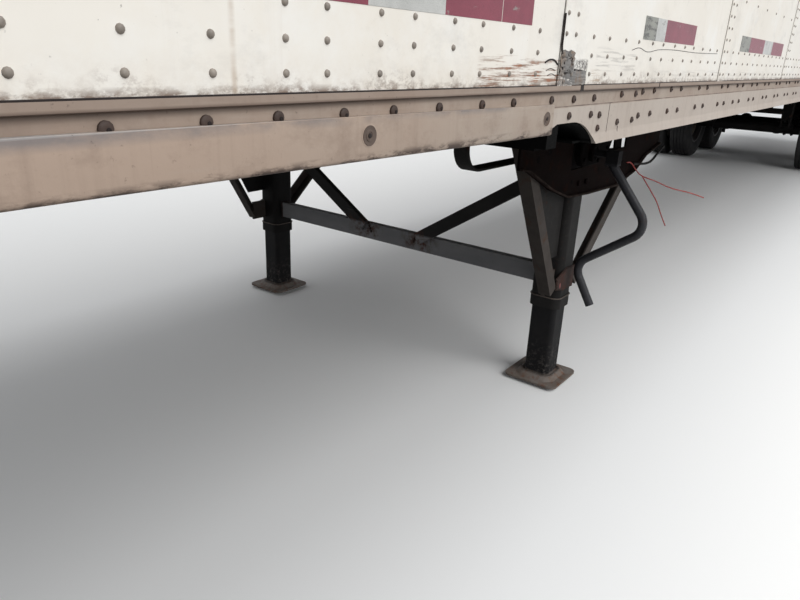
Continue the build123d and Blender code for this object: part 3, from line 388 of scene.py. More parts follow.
def makeRailMetal(name, guard=False):
    paint, tree = newTree(name)
    at = place3d(tree)
    height = axisOf(tree, at, "Z")
    cloud = clouds(tree, at, 3.2, 7, 0.66, 0.36, 0.64)
    color = mixColor(tree, cloud, railMetal["tan"], railMetal["pale"])
    if guard:
        start, end = aheadOf(railMetal["guardFade"])
        ahead = ramp(tree, axisOf(tree, at, "X"), start, end, 0.0, 0.9)
        color = mixColor(tree, ahead, color, railMetal["guardTan"])
    blots = clouds(tree, place3d(tree, (1, 1, 1.5)), 17, 7, 0.7, 0.50, 0.72, 0, 0.40)
    color = mixColor(tree, blots, color, railMetal["brown"])
    if not guard:
        # Band between the rail line and the bead, painted darker, and darker still right under the bead:
        # painted shade of the overhanging bead
        band = bandAt(tree, height, (railLine + beadBottom) / 2, (beadBottom - railLine) / 2, 0.003)
        toned = clouds(tree, at, 12, 5, 0.6, 0.30, 0.75, 0.0, 0.34)
        color = mixColor(tree, combine(tree, band, toned), color, railMetal["brown"])
        shadeUnderBead = combine(tree, band, ramp(tree, height, beadBottom - 0.009, beadBottom, 0.0, 0.85))
        color = mixColor(tree, shadeUnderBead, color, railMetal["dark"])
        bead = ramp(tree, height, beadBottom - 0.001, beadBottom + 0.001, 0.0, 0.42)
        belowPanel = ramp(tree, height, panelBottom + 0.002, panelBottom + 0.001)
        color = mixColor(tree, combine(tree, bead, belowPanel), color, railMetal["brown"])
        lower = ramp(tree, height, railLine - 0.001, railLine - 0.004, 0.0, 0.55)
        color = mixColor(tree, lower, color, railMetal["washed"])
        stepLine = bandAt(tree, height, railLine - 0.0006, 0.0007, 0.0008)
        uneven = clouds(tree, place3d(tree, (3, 3, 3)), 5, 4, 0.6, 0.30, 0.65, 0.35, 0.9)
        color = mixColor(tree, combine(tree, stepLine, uneven), color, railMetal["dark"])
    runs = clouds(tree, place3d(tree, (55, 55, 3)), 1.0, 6, 0.62, 0.50, 0.74, 0, 0.22)
    color = mixColor(tree, runs, color, railMetal["brown"])
    wiped = clouds(tree, place3d(tree, (2, 2, 40)), 1.6, 6, 0.6, 0.58, 0.78, 0, 0.28)
    color = mixColor(tree, wiped, color, railMetal["wiped"])
    if guard:
        # Greyish smudge under the upper edge, a painted highlight along the upper lip, scuffs along the lower
        # one
        topEdge = ramp(tree, height, guardShape["top"] - 0.013, guardShape["top"] - 0.004)
        smudge = clouds(tree, place3d(tree, (1, 1, 2)), 8, 6, 0.65, 0.42, 0.62, 0, 0.72)
        color = mixColor(tree, combine(tree, topEdge, smudge), color, railMetal["blueGrey"])
        # Pale line along the upper lip: a painted highlight
        lip = ramp(tree, height, guardShape["top"] - 0.0014, guardShape["top"] - 0.0006, 0.0, 0.38)
        color = mixColor(tree, lip, color, railMetal["lip"])
        lowEdge = ramp(tree, height, guardShape["low"] + 0.003, guardShape["low"] - 0.005)
        scuffs = clouds(tree, place3d(tree, (1, 1, 3)), 20, 6, 0.68, 0.46, 0.56, 0.05, 0.95)
        color = mixColor(tree, combine(tree, lowEdge, scuffs), color, railMetal["dark"])
    specks = clouds(tree, at, 120, 4, 0.7, 0.64, 0.74, 0, 0.55)
    color = mixColor(tree, specks, color, railMetal["dark"])
    grain = noise(tree, at, 60, 5, 0.6)
    finishShader(tree, color, railMetal["roughness"], 0.0, grain, 0.0005, 0.3)
    return paint


# Steel paints: paint, rust, share of rust, roughness, how much lighter in places, dust, shine
steelPaints = {
    "wingSteel": ((0.0036, 0.0020, 0.0017, 1), (0.0170, 0.0065, 0.0048, 1), 0.07, 0.85, 1.9, 0.014, 0.03),
    "legSteel": ((0.0112, 0.0104, 0.0100, 1), (0.043, 0.024, 0.018, 1), 0.03, 0.7, 1.8, 0.06, 0.14),
    "boltSteel": ((0.050, 0.034, 0.028, 1), (0.085, 0.050, 0.036, 1), 0.06, 0.6, 1.5, 0.12, 0.28),
    "hubSteel": ((0.16, 0.135, 0.115, 1), (0.20, 0.10, 0.055, 1), 0.10, 0.65, 1.5, 0.3, 0.28),
    "crankSteel": ((0.021, 0.021, 0.024, 1), (0.050, 0.038, 0.034, 1), 0.02, 0.42, 1.5, 0.15, 0.22),
    "wingBolt": ((0.0075, 0.0050, 0.0045, 1), (0.030, 0.013, 0.010, 1), 0.05, 0.9, 1.5, 0.02, 0.03),
    "strutSteel": ((0.0500, 0.0430, 0.0385, 1), (0.080, 0.046, 0.033, 1), 0.04, 0.75, 1.7, 0.05, 0.12),
    "caseSteel": ((0.0022, 0.0018, 0.0018, 1), (0.0120, 0.0060, 0.0050, 1), 0.03, 0.85, 2.0, 0.01, 0.02),
    "wornEdge": ((0.085, 0.070, 0.060, 1), (0.11, 0.072, 0.052, 1), 0.05, 0.7, 1.5, 0.3, 0.28),
    "dishSteel": ((0.085, 0.062, 0.050, 1), (0.13, 0.08, 0.055, 1), 0.05, 0.6, 1.4, 0.2, 0.28),
    "gussetRust": ((0.026, 0.0155, 0.0130, 1), (0.060, 0.026, 0.020, 1), 0.14, 0.8, 1.6, 0.05, 0.28),
    "tornMetal": ((0.10, 0.095, 0.09, 1), (0.24, 0.17, 0.12, 1), 0.12, 0.5, 3.0, 0.35, 0.28),
    "rustWeld": ((0.024, 0.0135, 0.0105, 1), (0.075, 0.030, 0.020, 1), 0.08, 0.75, 1.6, 0.06, 0.28),
}
steelMarks = {
    "dust": (0.24, 0.21, 0.185, 1),
    # painted highlight along the wing plate's bent lip
    "lipHighlight": (0.040, 0.030, 0.026, 1),
    "lipSpan": (0.0125, 0.0105),  # in from the wing plate's outer face
    # painted shade on the crank's knuckle
    "crankHeadShade": (0.0022, 0.0022, 0.0024, 1),
    "headSpan": (0.915, 0.935),  # height
    # painted shade of the far leg
    "paintedShade": (0.0025, 0.0022, 0.0025, 1),
    "rustRoughness": 0.97,
}


# Dark painted steel with rust coming through, with painted shade on the far leg and on the crank's knuckle,
# and a painted highlight along the wing plate's lip
def makeSteelPaint(name):
    base, rust, rustAmount, roughness, lighterBy, dustAmount, shine = steelPaints[name]
    paint, tree = newTree(name)
    at = place3d(tree)
    tone = clouds(tree, at, 7, 5, 0.6, 0.35, 0.70)
    color = mixColor(tree, tone, base, toned(base, lighterBy))
    blooms = clouds(tree, at, 16, 7, 0.68, 0.62 - rustAmount, 0.76 - rustAmount)
    color = mixColor(tree, blooms, color, rust)
    dust = clouds(tree, at, 60, 4, 0.6, 0.55, 0.80, 0, dustAmount)
    color = mixColor(tree, dust, color, steelMarks["dust"])
    matt = steelMarks["rustRoughness"]
    if name == "wingSteel":  # the bent lower lip is painted paler: a painted highlight along its edge
        outward = absolute(tree, axisOf(tree, at, "Y"))
        wornAndHighlit = clouds(tree, at, 18, 5, 0.6, 0.36, 0.62, 0.25, 1.0)
        start, end = (wingHigh[1] - inward for inward in steelMarks["lipSpan"])
        lip = combine(tree, ramp(tree, outward, start, end), wornAndHighlit)
        color = mixColor(tree, lip, color, steelMarks["lipHighlight"])
    if name == "crankSteel":  # the crank's knuckle is painted darker, as painted shade, and made dull
        low, high = steelMarks["headSpan"]
        head = ramp(tree, axisOf(tree, at, "Z"), low, high, 0.0, 0.85)
        color = mixColor(tree, head, color, steelMarks["crankHeadShade"])
        roughness = ramp(tree, head, 0.0, 0.85, roughness, matt)
    if name == "legSteel":  # the far leg is painted darker than the near one: painted shade
        paintedShade = ramp(tree, axisOf(tree, at, "Y"), 0.2, -0.2, 0.0, 0.62)
        color = mixColor(tree, paintedShade, color, steelMarks["paintedShade"])
    pits = noise(tree, at, 110, 5, 0.65)
    rough = ramp(tree, blooms, 0, 1, roughness, matt)
    finishShader(tree, color, rough, 0.0, pits, 0.0006, shine)
    return paint


# Braces of the legs: the cross channel is paler than the slanting braces, and both rust at the welds
braceTones = {
    "slanting": ((0.0125, 0.0118, 0.0113, 1), (0.022, 0.0205, 0.0195, 1)),
    "crosswise": ((0.190, 0.190, 0.195, 1), (0.260, 0.256, 0.256, 1)),
    "channelTop": (0.512, 0.500),  # height
    "weldOut": (0.16, 0.03, 0.09),  # from the middle, half width, soft edge
    "weldHeight": (0.475, 0.03, 0.04),
    "weldRust": (0.085, 0.038, 0.024, 1),
    "rust": (0.050, 0.028, 0.021, 1),
    "scratch": (0.12, 0.115, 0.11, 1),
}


def makeBraceSteel():
    paint, tree = newTree("braceSteel")
    at = place3d(tree)
    height = axisOf(tree, at, "Z")
    tone = clouds(tree, place3d(tree, (1, 0.3, 1)), 9, 5, 0.6, 0.32, 0.70)
    slanting = mixColor(tree, tone, *braceTones["slanting"])
    crosswise = mixColor(tree, tone, *braceTones["crosswise"])
    color = mixColor(tree, ramp(tree, height, *braceTones["channelTop"]), slanting, crosswise)
    nearWeld = bandAt(tree, absolute(tree, axisOf(tree, at, "Y")), *braceTones["weldOut"])
    low = bandAt(tree, height, *braceTones["weldHeight"])
    blotch = clouds(tree, at, 32, 6, 0.66, 0.44, 0.60)
    weldArea = combine(tree, combine(tree, nearWeld, low), blotch)
    color = mixColor(tree, weldArea, color, braceTones["weldRust"])
    blooms = clouds(tree, at, 14, 7, 0.68, 0.62, 0.74, 0, 0.7)
    color = mixColor(tree, blooms, color, braceTones["rust"])
    scratches = clouds(tree, place3d(tree, (3, 3, 60)), 2.0, 5, 0.65, 0.64, 0.72, 0, 0.5)
    color = mixColor(tree, scratches, color, braceTones["scratch"])
    pits = noise(tree, at, 110, 5, 0.65)
    finishShader(tree, color, 0.68, 0.0, pits, 0.0006, 0.15)
    return paint


# Frame paint, with painted shade where the rail's arch opens on the crossmember behind it
frameTones = {
    "paint": ((0.010, 0.0095, 0.0095, 1), (0.021, 0.019, 0.0175, 1)),
    "rust": (0.075, 0.040, 0.026, 1),
    "paintedShade": (0.003, 0.003, 0.003, 1),
    "shadeArea": ((0.55, 1.30), (1.00, 1.23)),  # ahead of the legs, height
}


def makeFramePaint():
    paint, tree = newTree("frameSteel")
    at = place3d(tree)
    tone = clouds(tree, at, 7, 5, 0.6, 0.35, 0.70)
    color = mixColor(tree, tone, *frameTones["paint"])
    blooms = clouds(tree, at, 16, 7, 0.68, 0.57, 0.71)
    color = mixColor(tree, blooms, color, frameTones["rust"])
    along, upward = frameTones["shadeArea"]
    # painted shade under the rail's arch
    color = mixColor(tree, patchAt(tree, at, aheadOf(along), upward, 0.03), color, frameTones["paintedShade"])
    pits = noise(tree, at, 110, 5, 0.65)
    finishShader(tree, color, 0.8, 0.0, pits, 0.0006, 0.05)
    return paint


# Sliding leg and foot: dark tube above a worn and rusty pad
footSteel = {
    "tube": (0.0070, 0.0070, 0.0080, 1),
    "tubeWorn": (0.017, 0.015, 0.014, 1),
    "pad": (0.185, 0.165, 0.150, 1),
    "padDark": (0.12, 0.09, 0.07, 1),
    "rust": (0.14, 0.075, 0.05, 1),
    "padTop": 0.036,
}


def makeFootSteel():
    paint, tree = newTree("footSteel")
    at = place3d(tree)
    height = axisOf(tree, at, "Z")
    tone = clouds(tree, at, 18, 6, 0.62, 0.35, 0.68)
    pad = mixColor(tree, tone, footSteel["pad"], footSteel["padDark"])
    edge = clouds(tree, at, 40, 5, 0.65, 0.52, 0.68)
    pad = mixColor(tree, edge, pad, footSteel["rust"])
    tube = mixColor(tree, ramp(tree, tone, 0, 1, 0, 0.5), footSteel["tube"], footSteel["tubeWorn"])
    splash = clouds(tree, at, 55, 5, 0.7, 0.50, 0.70, 0, 0.6)
    low = ramp(tree, height, 0.20, footSteel["padTop"], 0.0, 1.0)
    tube = mixColor(tree, combine(tree, splash, low), tube, footSteel["pad"])
    above = ramp(tree, height, footSteel["padTop"] - 0.004, footSteel["padTop"] + 0.006)
    color = mixColor(tree, above, pad, tube)
    pits = noise(tree, at, 90, 5, 0.65)
    finishShader(tree, color, 0.66, 0.0, pits, 0.0008, 0.15)
    return paint


# Plain finishes: colour, roughness, metallic, how much darker in places, scale of these places
plainFinishes = {
    "galvanisedSteel": ((0.46, 0.47, 0.48, 1), 0.45, 0.8, 0.25, 8),
    "flapRubber": ((0.018, 0.018, 0.018, 1), 0.8, 0.0, 0.25, 8),
    "redLens": ((0.35, 0.012, 0.012, 1), 0.2, 0.0, 0.25, 8),
    "amberLens": ((0.62, 0.20, 0.012, 1), 0.2, 0.0, 0.25, 8),
    "rivetPaint": ((0.325, 0.280, 0.235, 1), 0.5, 0.0, 0.55, 60),
    "darkGap": ((0.016, 0.010, 0.009, 1), 0.9, 0.0, 0.25, 8),
    "pinkPaint": ((0.21, 0.062, 0.058, 1), 0.7, 0.0, 0.4, 60),
    "redWire": ((0.44, 0.055, 0.045, 1), 0.6, 0.0, 0.55, 60),
}


def makePlainFinish(name):
    base, roughness, metallic, darkerBy, scale = plainFinishes[name]
    paint, tree = newTree(name)
    at = place3d(tree)
    tone = ramp(tree, noise(tree, at, scale, 5, 0.6), 0.30, 0.72)
    color = mixColor(tree, tone, base, toned(base, 1 - darkerBy))
    grain = noise(tree, at, 140, 3, 0.5)
    finishShader(tree, color, roughness, metallic, grain, 0.0004)
    return paint


# Rubber with road dust in patches
rubberTones = {
    "rubber": ((0.030, 0.030, 0.031, 1), (0.018, 0.018, 0.018, 1)),
    "dust": (0.085, 0.082, 0.080, 1),
}


def makeTyreRubber():
    paint, tree = newTree("tyreRubber")
    at = place3d(tree)
    tone = clouds(tree, at, 14, 5, 0.6, 0.30, 0.72)
    color = mixColor(tree, tone, *rubberTones["rubber"])
    dust = clouds(tree, at, 5, 7, 0.7, 0.38, 0.68, 0.10, 0.60)
    color = mixColor(tree, dust, color, rubberTones["dust"])
    grain = noise(tree, at, 150, 3, 0.5)
    finishShader(tree, color, 0.88, 0.0, grain, 0.0006, 0.25)
    return paint


# Wheel paint: brake dust darkens the inner wheels, rust and road dirt mark the outer ones
wheelTones = {
    "paint": ((0.56, 0.55, 0.51, 1), (0.42, 0.40, 0.36, 1)),
    "dirt": (0.17, 0.135, 0.105, 1),
    "rust": (0.22, 0.085, 0.035, 1),
    "brakeDust": (0.020, 0.018, 0.017, 1),
    "dustSpan": (0.03, 0.06),  # in from the middle of the twin
}


def makeWheelPaint():
    paint, tree = newTree("wheelPaint")
    at = place3d(tree)
    tone = clouds(tree, at, 9, 5, 0.6, 0.30, 0.72)
    color = mixColor(tree, tone, *wheelTones["paint"])
    dirt = clouds(tree, at, 22, 7, 0.7, 0.46, 0.64, 0.0, 0.65)
    color = mixColor(tree, dirt, color, wheelTones["dirt"])
    rust = clouds(tree, at, 34, 6, 0.66, 0.60, 0.70, 0.0, 0.75)
    color = mixColor(tree, rust, color, wheelTones["rust"])
    start, end = (twinMiddle - inward for inward in wheelTones["dustSpan"])
    brakeDust = ramp(tree, absolute(tree, axisOf(tree, at, "Y")), start, end, 0.0, 0.96)
    color = mixColor(tree, brakeDust, color, wheelTones["brakeDust"])
    grain = noise(tree, at, 120, 4, 0.6)
    finishShader(tree, color, 0.5, 0.0, grain, 0.0004, 0.4)
    return paint


# Floor of narrow hardwood boards that run along the trailer
woodTones = {"grain": ((0.24, 0.145, 0.08, 1), (0.42, 0.29, 0.17, 1)), "gap": (0.05, 0.03, 0.02, 1)}


def makeFloorWood():
    paint, tree = newTree("floorWood")
    at = place3d(tree)
    boards = addNode(tree, "ShaderNodeTexWave", {"Vector": at, "Scale": 4.9}, bands_direction="Y")
    gap = ramp(tree, boards.outputs["Fac"], 0.02, 0.10)
    grain = noise(tree, place3d(tree, (2, 40, 40)), 3, 6, 0.6)
    color = mixColor(tree, grain, *woodTones["grain"])
    color = mixColor(tree, gap, woodTones["gap"], color)
    finishShader(tree, color, 0.62, 0.0, grain, 0.0006)
    return paint


# Reflective tape, with a fine emboss and with worn and dirty places: colour, worn colour, wear
tapePaints = {
    "redTape": ((0.270, 0.050, 0.080, 1), (0.30, 0.27, 0.25, 1), 0.0),
    "whiteTape": ((0.62, 0.62, 0.59, 1), (0.22, 0.21, 0.18, 1), 0.0),
    "wornTape": ((0.30, 0.30, 0.26, 1), (0.07, 0.065, 0.06, 1), 0.10),
}


def makeTape(name):
    base, wornAndHighlit, wear = tapePaints[name]
    paint, tree = newTree(name)
    at = place3d(tree)
    tone = clouds(tree, at, 20, 5, 0.6, 0.34, 0.70)
    color = mixColor(tree, tone, base, toned(base, 0.72))
    gone = clouds(tree, place3d(tree, (1, 1, 2.5)), 26, 6, 0.7, 0.62 - wear, 0.68 - wear, 0, 0.9)
    color = mixColor(tree, gone, color, wornAndHighlit)
    cells = addNode(tree, "ShaderNodeTexVoronoi", {"Vector": at, "Scale": 420.0}, feature="DISTANCE_TO_EDGE")
    seams = ramp(tree, cells.outputs["Distance"], 0.02, 0.08, 0.82, 1.0)
    color = mixColor(tree, 1.0, color, seams, "MULTIPLY")
    finishShader(tree, color, 0.34, 0.0, cells.outputs["Distance"], 0.0002)
    return paint


finishes = {
    "white_panel": makePanelPaint(),
    "aluminium": makeRailMetal("dirtyAluminium"),
    "floor_wood": makeFloorWood(),
    "frame_steel": makeFramePaint(),
    "galvanised": makePlainFinish("galvanisedSteel"),
    "brown_steel": makeSteelPaint("wingSteel"),
    "dark_steel": makeSteelPaint("legSteel"),
    "worn_steel": makeFootSteel(),
    "tyre": makeTyreRubber(),
    "wheel_white": makeWheelPaint(),
    "black_rubber": makePlainFinish("flapRubber"),
    "red_lens": makePlainFinish("redLens"),
    "amber_lens": makePlainFinish("amberLens"),
}
trims = {"guardMetal": makeRailMetal("guardMetal", guard=True), "braceSteel": makeBraceSteel()}
for name in ("rivetPaint", "darkGap", "pinkPaint", "redWire"):
    trims[name] = makePlainFinish(name)
for name in steelPaints:
    if name not in ("wingSteel", "legSteel"):
        trims[name] = makeSteelPaint(name)
for name in tapePaints:
    trims[name] = makeTape(name)


ownFinish = {  # nodes that differ from the others of their slot
    "leg_braces": trims["braceSteel"],
    "crank_drive": trims["crankSteel"],
    "leg_struts": trims["strutSteel"],
}


def dressNodes():
    slotOf = {part["node"]: part["material_slot"] for part in frame["record"]["subparts"]}
    for name, node in frame["nodes"].items():
        finish = finishes[slotOf[name]]
        finish = ownFinish.get(name, finish)
        for slot in node.material_slots:
            slot.material = finish


dressNodes()
print("frame dressed")


# Modelling tools
def chooseFaces(piece, wanted):
    pick(piece)
    bpy.ops.object.mode_set(mode="EDIT")
    bpy.ops.mesh.select_mode(type="FACE")
    bpy.ops.mesh.select_all(action="DESELECT")
    bpy.ops.object.mode_set(mode="OBJECT")
    for face in piece.data.polygons:
        face.select = wanted(face.center, face.normal)
    bpy.ops.object.mode_set(mode="EDIT")


def bevelEdges(piece, wanted, offset, segments=2):
    # wanted gets an edge's two ends
    pick(piece)
    bpy.ops.object.mode_set(mode="EDIT")
    bpy.ops.mesh.select_mode(type="EDGE")
    bpy.ops.mesh.select_all(action="DESELECT")
    bpy.ops.object.mode_set(mode="OBJECT")
    for edge in piece.data.edges:
        first, second = (piece.data.vertices[index].co for index in edge.vertices)
        edge.select = wanted(first, second)
    bpy.ops.object.mode_set(mode="EDIT")
    bpy.ops.mesh.bevel(offset=offset, segments=segments, affect="EDGES")
    bpy.ops.object.mode_set(mode="OBJECT")


def cutAcross(piece, stations):
    # Extra loops across X, so that the piece can bend there
    pick(piece)
    bpy.ops.object.mode_set(mode="EDIT")
    for x in stations:
        bpy.ops.mesh.select_all(action="SELECT")
        bpy.ops.mesh.bisect(plane_co=(x, 0, 0), plane_no=(1, 0, 0))
    bpy.ops.object.mode_set(mode="OBJECT")


def applyModifier(piece, kind, **settings):
    pick(piece)
    bpy.ops.object.modifier_add(type=kind)
    modifier = piece.modifiers[-1]
    for key, value in settings.items():
        setattr(modifier, key, value)
    bpy.ops.object.modifier_apply(modifier=modifier.name)


def repeatAlong(piece, count, step):
    spacing = {"use_relative_offset": False, "use_constant_offset": True, "constant_offset_displace": step}
    applyModifier(piece, "ARRAY", count=count, **spacing)


def copyTo(piece, shift):
    pick(piece)
    bpy.ops.object.duplicate(linked=False)
    bpy.ops.transform.translate(value=shift)
    return bpy.context.object


def joinAll(pieces):
    deselectAll()
    for piece in pieces:
        piece.select_set(True)
    bpy.context.view_layer.objects.active = pieces[0]
    if len(pieces) > 1:
        bpy.ops.object.join()
    return bpy.context.object


def settle(piece, name, slot, body=trailer, finish=None, smooth=None):
    # Places the mesh itself, turns its faces outwards and gives it its finish and its body
    pick(piece)
    bpy.ops.object.transform_apply(location=True, rotation=True, scale=True)
    bpy.ops.object.mode_set(mode="EDIT")
    bpy.ops.mesh.select_all(action="SELECT")
    bpy.ops.mesh.normals_make_consistent(inside=False)
    bpy.ops.object.mode_set(mode="OBJECT")
    if smooth is not None:
        bpy.ops.object.shade_smooth_by_angle(angle=math.radians(smooth))
    piece.name = name
    piece.data.name = name
    piece.data.materials.clear()
    piece.data.materials.append(finish or finishes[slot])
    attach(piece, body)
    return piece


def turnedHead(place, aim, radius, depth, insets, vertices=12):
    # A round head that stands on place and points along aim; insets shape its free end
    aim = Vector(aim)
    deselectAll()
    bpy.ops.mesh.primitive_cylinder_add(
        vertices=vertices,
        radius=radius,
        depth=depth,
        location=Vector(place) + aim * depth / 2,
        rotation=aim.to_track_quat("Z", "Y").to_euler(),
    )
    head = bpy.context.object
    bpy.ops.object.transform_apply(location=True, rotation=True, scale=True)
    chooseFaces(head, lambda center, normal: normal.dot(aim) > 0.9)
    for thickness, lift in insets:
        bpy.ops.mesh.inset(thickness=thickness, depth=lift)
    bpy.ops.object.mode_set(mode="OBJECT")
    return head


def plate(low, high, bevel=0.0, segments=1):
    deselectAll()
    middle = [(a + b) / 2 for a, b in zip(low, high)]
    bpy.ops.mesh.primitive_cube_add(size=1, location=middle)
    piece = bpy.context.object
    piece.scale = [abs(b - a) for a, b in zip(low, high)]
    bpy.ops.object.transform_apply(location=True, rotation=True, scale=True)
    if bevel:
        bpy.ops.object.mode_set(mode="EDIT")
        bpy.ops.mesh.select_all(action="SELECT")
        bpy.ops.mesh.bevel(offset=bevel, segments=segments, affect="EDGES")
        bpy.ops.object.mode_set(mode="OBJECT")
    return piece


def bentRod(points, radius, rounding=2, handle="AUTO", steps=5):
    deselectAll()
    bpy.ops.curve.primitive_bezier_curve_add(location=(0, 0, 0))
    rod = bpy.context.object
    spline = rod.data.splines[0]
    spline.bezier_points.add(len(points) - 2)
    for knot, place in zip(spline.bezier_points, points):
        knot.co = place
        knot.handle_left_type = handle
        knot.handle_right_type = handle
    rod.data.bevel_depth = radius
    rod.data.bevel_resolution = rounding
    rod.data.resolution_u = steps
    rod.data.use_fill_caps = True
    bpy.ops.object.convert(target="MESH")
    return bpy.context.object


def startPoint(place):
    # A piece of a single vertex in edit mode, for an outline to be drawn out of it
    deselectAll()
    bpy.ops.mesh.primitive_plane_add(size=0.001, location=place)
    bpy.ops.object.mode_set(mode="EDIT")
    bpy.ops.mesh.select_mode(type="VERT")
    bpy.ops.mesh.select_all(action="SELECT")
    bpy.ops.mesh.merge(type="CENTER")
    return bpy.context.object


def spunShape(outline, center, steps):
    # Outline of (along Y, radius) points about an axis along Y through center
    shape = startPoint((center[0], center[1] + outline[0][0], center[2] + outline[0][1]))
    route = list(outline) + [outline[0]]
    for before, after in zip(route, route[1:]):
        move = (0, after[0] - before[0], after[1] - before[1])
        bpy.ops.mesh.extrude_vertices_move(TRANSFORM_OT_translate={"value": move})
    bpy.ops.mesh.select_all(action="SELECT")
    bpy.ops.mesh.remove_doubles(threshold=0.00002)
    bpy.ops.mesh.spin(steps=steps, angle=2 * math.pi, center=center, axis=(0, 1, 0))
    bpy.ops.mesh.select_all(action="SELECT")
    bpy.ops.mesh.remove_doubles(threshold=0.00002)
    bpy.ops.object.mode_set(mode="OBJECT")
    return shape


sides = ((1, "left"), (-1, "right"))
print("tools ready")


# Domed rivets of the side panels and their splice strips
rivets = {
    "radius": 0.0046,
    "height": 0.0031,
    "around": 10,
    "firstSeam": 1.2375,  # behind the front face
    "seamStep": 1.2195,
    "seams": 13,
    "stripColumns": (0.014, 0.056),  # behind the seam
    "stripStep": 0.0349,
    "lowest": 1.2568,
    "panelRows": 3,
    "upperRow": 1.486,
    "columns": (0.149, 0.234, 0.331, 0.416, 0.515, 0.598, 0.696, 0.790, 0.877, 0.974, 1.060, 1.146),
    "nearColumns": (
        0.104, 0.180, 0.264, 0.358, 0.449, 0.544, 0.607, 0.702, 0.771, 0.865, 0.942, 1.036, 1.130,
    ),
    "upperColumns": (0.194, 0.390, 0.566, 0.757, 0.941, 1.142),
    "topStep": 0.0975,
    "topRows": (4.003, 4.058),
}


def rivetHead(x, y, z, side):
    deselectAll()
    bpy.ops.mesh.primitive_uv_sphere_add(
        segments=rivets["around"],
        ring_count=6,
        radius=rivets["radius"],
        location=(x, y, z),
        rotation=(math.pi / 2, 0, 0),
    )
    head = bpy.context.object
    head.scale = (1, 1, rivets["height"] / rivets["radius"])
    bpy.ops.object.transform_apply(location=True, rotation=True, scale=True)
    bpy.ops.object.mode_set(mode="EDIT")
    bpy.ops.mesh.select_all(action="SELECT")
    bpy.ops.mesh.bisect(plane_co=(x, y, z), plane_no=(0, side, 0), use_fill=True, clear_inner=True)
    bpy.ops.object.mode_set(mode="OBJECT")
    return head


def rowOf(head, offsets):
    # Copies of head behind it by the offsets' differences from the first one
    heads = [head] + [copyTo(head, (offsets[0] - offset, 0, 0)) for offset in offsets[1:]]
    return joinAll(heads)


def buildRivets(side, word):
    faceY = side * panelY
    seamX = frontX - rivets["firstSeam"]
    stripHeads = rivetHead(seamX - rivets["stripColumns"][0], side * stripY, rivets["lowest"], side)
    repeatAlong(stripHeads, 2, (rivets["stripColumns"][0] - rivets["stripColumns"][1], 0, 0))
    rows = int((topRailLow[2] - 0.015 - rivets["lowest"]) / rivets["stripStep"]) + 1
    repeatAlong(stripHeads, rows, (0, 0, rivets["stripStep"]))
    repeatAlong(stripHeads, rivets["seams"], (-rivets["seamStep"], 0, 0))
    settle(stripHeads, f"strip_rivets_{word}", "white_panel", finish=trims["rivetPaint"], smooth=40)

    rowX = seamX + rivets["seamStep"] - rivets["columns"][0]
    low = rowOf(rivetHead(rowX, faceY, rivets["lowest"], side), rivets["columns"])
    repeatAlong(low, rivets["panelRows"], (0, 0, rivets["stripStep"]))
    high = rivetHead(seamX + rivets["seamStep"] - rivets["upperColumns"][0], faceY, rivets["upperRow"], side)
    high = rowOf(high, rivets["upperColumns"])
    frontPanel = joinAll([low, high])
    backPanels = copyTo(frontPanel, (-2 * rivets["seamStep"], 0, 0))
    repeatAlong(backPanels, rivets["seams"] - 2, (-rivets["seamStep"], 0, 0))
    near = rivetHead(seamX - rivets["nearColumns"][0], faceY, rivets["lowest"], side)
    near = rowOf(near, rivets["nearColumns"])
    repeatAlong(near, rivets["panelRows"], (0, 0, rivets["stripStep"]))
    nearHigh = rivetHead(seamX - rivets["upperColumns"][0], faceY, rivets["upperRow"], side)
    nearHigh = rowOf(nearHigh, rivets["upperColumns"])
    panelHeads = joinAll([frontPanel, backPanels, near, nearHigh])
    settle(panelHeads, f"panel_rivets_{word}", "white_panel", finish=trims["rivetPaint"], smooth=40)

    topHeads = rivetHead(railHigh[0] - 0.05, side * stripY, rivets["topRows"][0], side)
    repeatAlong(topHeads, 2, (0.02, 0, rivets["topRows"][1] - rivets["topRows"][0]))
    count = int((railHigh[0] - railLow[0] - 0.08) / rivets["topStep"])
    repeatAlong(topHeads, count, (-rivets["topStep"], 0, 0))
    settle(topHeads, f"top_rail_rivets_{word}", "aluminium", finish=trims["rivetPaint"], smooth=40)


for side, word in sides:
    buildRivets(side, word)
print("rivets done")


# Dark line where each splice strip lies on the panel ahead of it
seamLine = {"width": 0.0018, "proud": 0.0005}


def buildSeamLines(side, word):
    seamX = frontX - rivets["firstSeam"]
    line = plate(
        (seamX, side * (panelY - 0.0002), panelBottom + 0.001),
        (seamX + seamLine["width"], side * (panelY + seamLine["proud"]), topRailLow[2]),
        0.0002,
    )
    repeatAlong(line, rivets["seams"], (-rivets["seamStep"], 0, 0))
    settle(line, f"seam_lines_{word}", "white_panel", finish=trims["darkGap"])


for side, word in sides:
    buildSeamLines(side, word)
